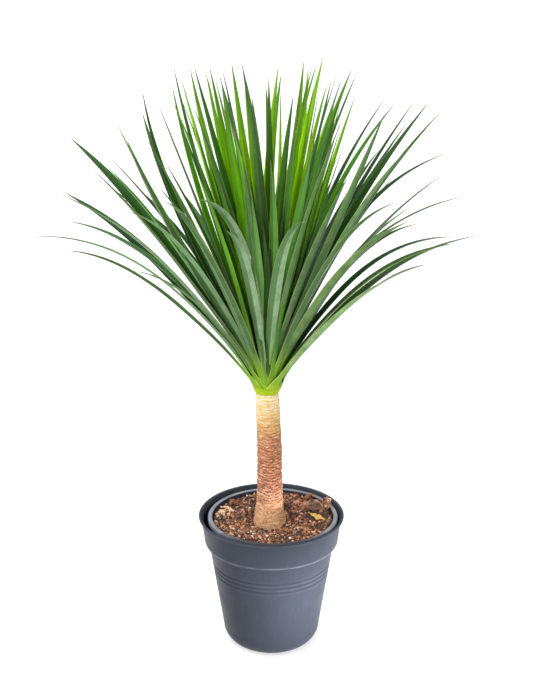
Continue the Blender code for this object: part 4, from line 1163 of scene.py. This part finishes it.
def make_stage():
    """A pale lit floor, a white surround that brightens overhead at the left, and a small soft lamp low at the
    right front, without a highlight, whose narrow beam takes in the pot and ends below its rim."""
    mesh = bpy.data.meshes.new("floor")
    corners = (-1, -1), (1, -1), (1, 1), (-1, 1)
    mesh.from_pydata([(x * FLOOR_REACH, y * FLOOR_REACH, 0) for x, y in corners], [], [(0, 1, 2, 3)])
    made, place = new_material("floor paper", Roughness=0.9, Specular_IOR_Level=0.1, Emission_Color=(1, 1, 1),
                               Emission_Strength=FLOOR_GLOW)
    paper = painted((0.66, 0.66, 0.66), (noise(place, 3, 2), (0.7, 0.7, 0.7)))
    fill(made.node_tree.nodes["Principled BSDF"], {"Base Color": paper})
    mesh.materials.append(made)
    link("floor", mesh)
    world = bpy.data.worlds.new("studio")
    world.use_nodes = True
    heading = put(world.node_tree, "TexCoord")["Generated"]
    facing = put(world.node_tree, "VectorMath", {0: heading, 1: BRIGHTEST}, operation="DOT_PRODUCT")["Value"]
    fill(world.node_tree.nodes["Background"], {"Color": (1, 1, 1),
                                               "Strength": span(facing, 0.1, 0.95, *SURROUND)})
    bpy.context.scene.world = world
    data = bpy.data.lights.new("pot lamp", "AREA")
    data.shape = "RECTANGLE"
    data.size, data.size_y = LAMP_SIZE
    data.spread, data.energy = LAMP_SPREAD, LAMP_POWER
    lamp = link("pot lamp", data)
    lamp.location = LAMP_AT
    lamp.rotation_euler = Vector(LAMP_AIM - LAMP_AT).to_track_quat("-Z", "Y").to_euler()
    lamp.visible_glossy = False


def make_camera():
    """The photograph's camera: its eye, pitch and focal length, shifted by what its frame is off the axis."""
    data = bpy.data.cameras.new("camera")
    data.sensor_width = SENSOR
    data.lens = FOCAL_PIXELS / PICTURE_HEIGHT * SENSOR
    data.shift_x = PICTURE_SHIFT / PICTURE_HEIGHT
    data.clip_end = 50
    camera = link("camera", data)
    camera.location = EYE * MM
    camera.rotation_euler = (math.pi / 2 - EYE_PITCH, 0, 0)
    bpy.context.scene.camera = camera


def make_all():
    slate = plastic("slate plastic", (0.03, 0.034, 0.047), (0.027, 0.031, 0.042), (0.15, 0.165, 0.2), 0.1)
    grey = plastic("grey plastic", (0.16, 0.17, 0.205), (0.125, 0.135, 0.165), (0.36, 0.37, 0.42), 0.2)
    peat = crumb_finish("peat", (0.35, 0.14, 0.07), (0.04, 0.02, 0.018), (0.86, 0.46, 0.26), 160, 0.9)
    clod = crumb_finish("clod", (0.46, 0.22, 0.13), (0.07, 0.035, 0.025), (0.9, 0.58, 0.38), 180, 0.9)
    chunk = crumb_finish("bark chunk", (0.32, 0.13, 0.06), (0.12, 0.045, 0.025), (0.5, 0.25, 0.14), 180, 0.6)
    white = crumb_finish("perlite", (0.85, 0.82, 0.76), (0.55, 0.45, 0.36), (0.95, 0.94, 0.92), 300, 0.6)
    straw = scrap_finish("coir", (0.5, 0.3, 0.15), (0.2, 0.1, 0.05), (0.66, 0.45, 0.26))
    yellow = scrap_finish("dry leaf", (0.66, 0.34, 0.06), (0.3, 0.12, 0.03), (0.85, 0.58, 0.2))
    tan = scrap_finish("shaving", (0.76, 0.44, 0.22), (0.36, 0.16, 0.07), (0.92, 0.72, 0.5))
    dress(make_cover_pot(), "cover_pot", slate)
    dress(make_grow_pot(), "grow_pot", grey)
    dress(make_compost(), "compost", peat)
    dress(make_crumbs(), None, peat)
    dress(make_perlite(), None, white)
    dress(make_fibres(), None, straw)
    dress(make_stem(), "stem", bark_finish())
    dress(make_leaves(), "leaf_crown", leaf_finish())
    dress(make_lump_pile("clod", CLOD_LUMPS, 4, 90), "bark_clod", clod)
    dress(make_lump_pile("chunk", (BARK_CHUNK,), 6, 40), "bark_chunk", chunk)
    dress(make_scrap("yellow_flake", DRY_FLAKE, 0.7, 1.5, 3), "dry_flake", yellow)
    dress(make_chips(), None, tan)
    for i, outline in enumerate(PALE_SCRAPS):
        dress(make_scrap(f"tan_scrap_{i}", outline, 0.8, 2, 5 + i), f"pale_scrap_{i}", tan)


make_all()
make_stage()
make_camera()
bpy.context.scene.view_settings.view_transform = "Standard"
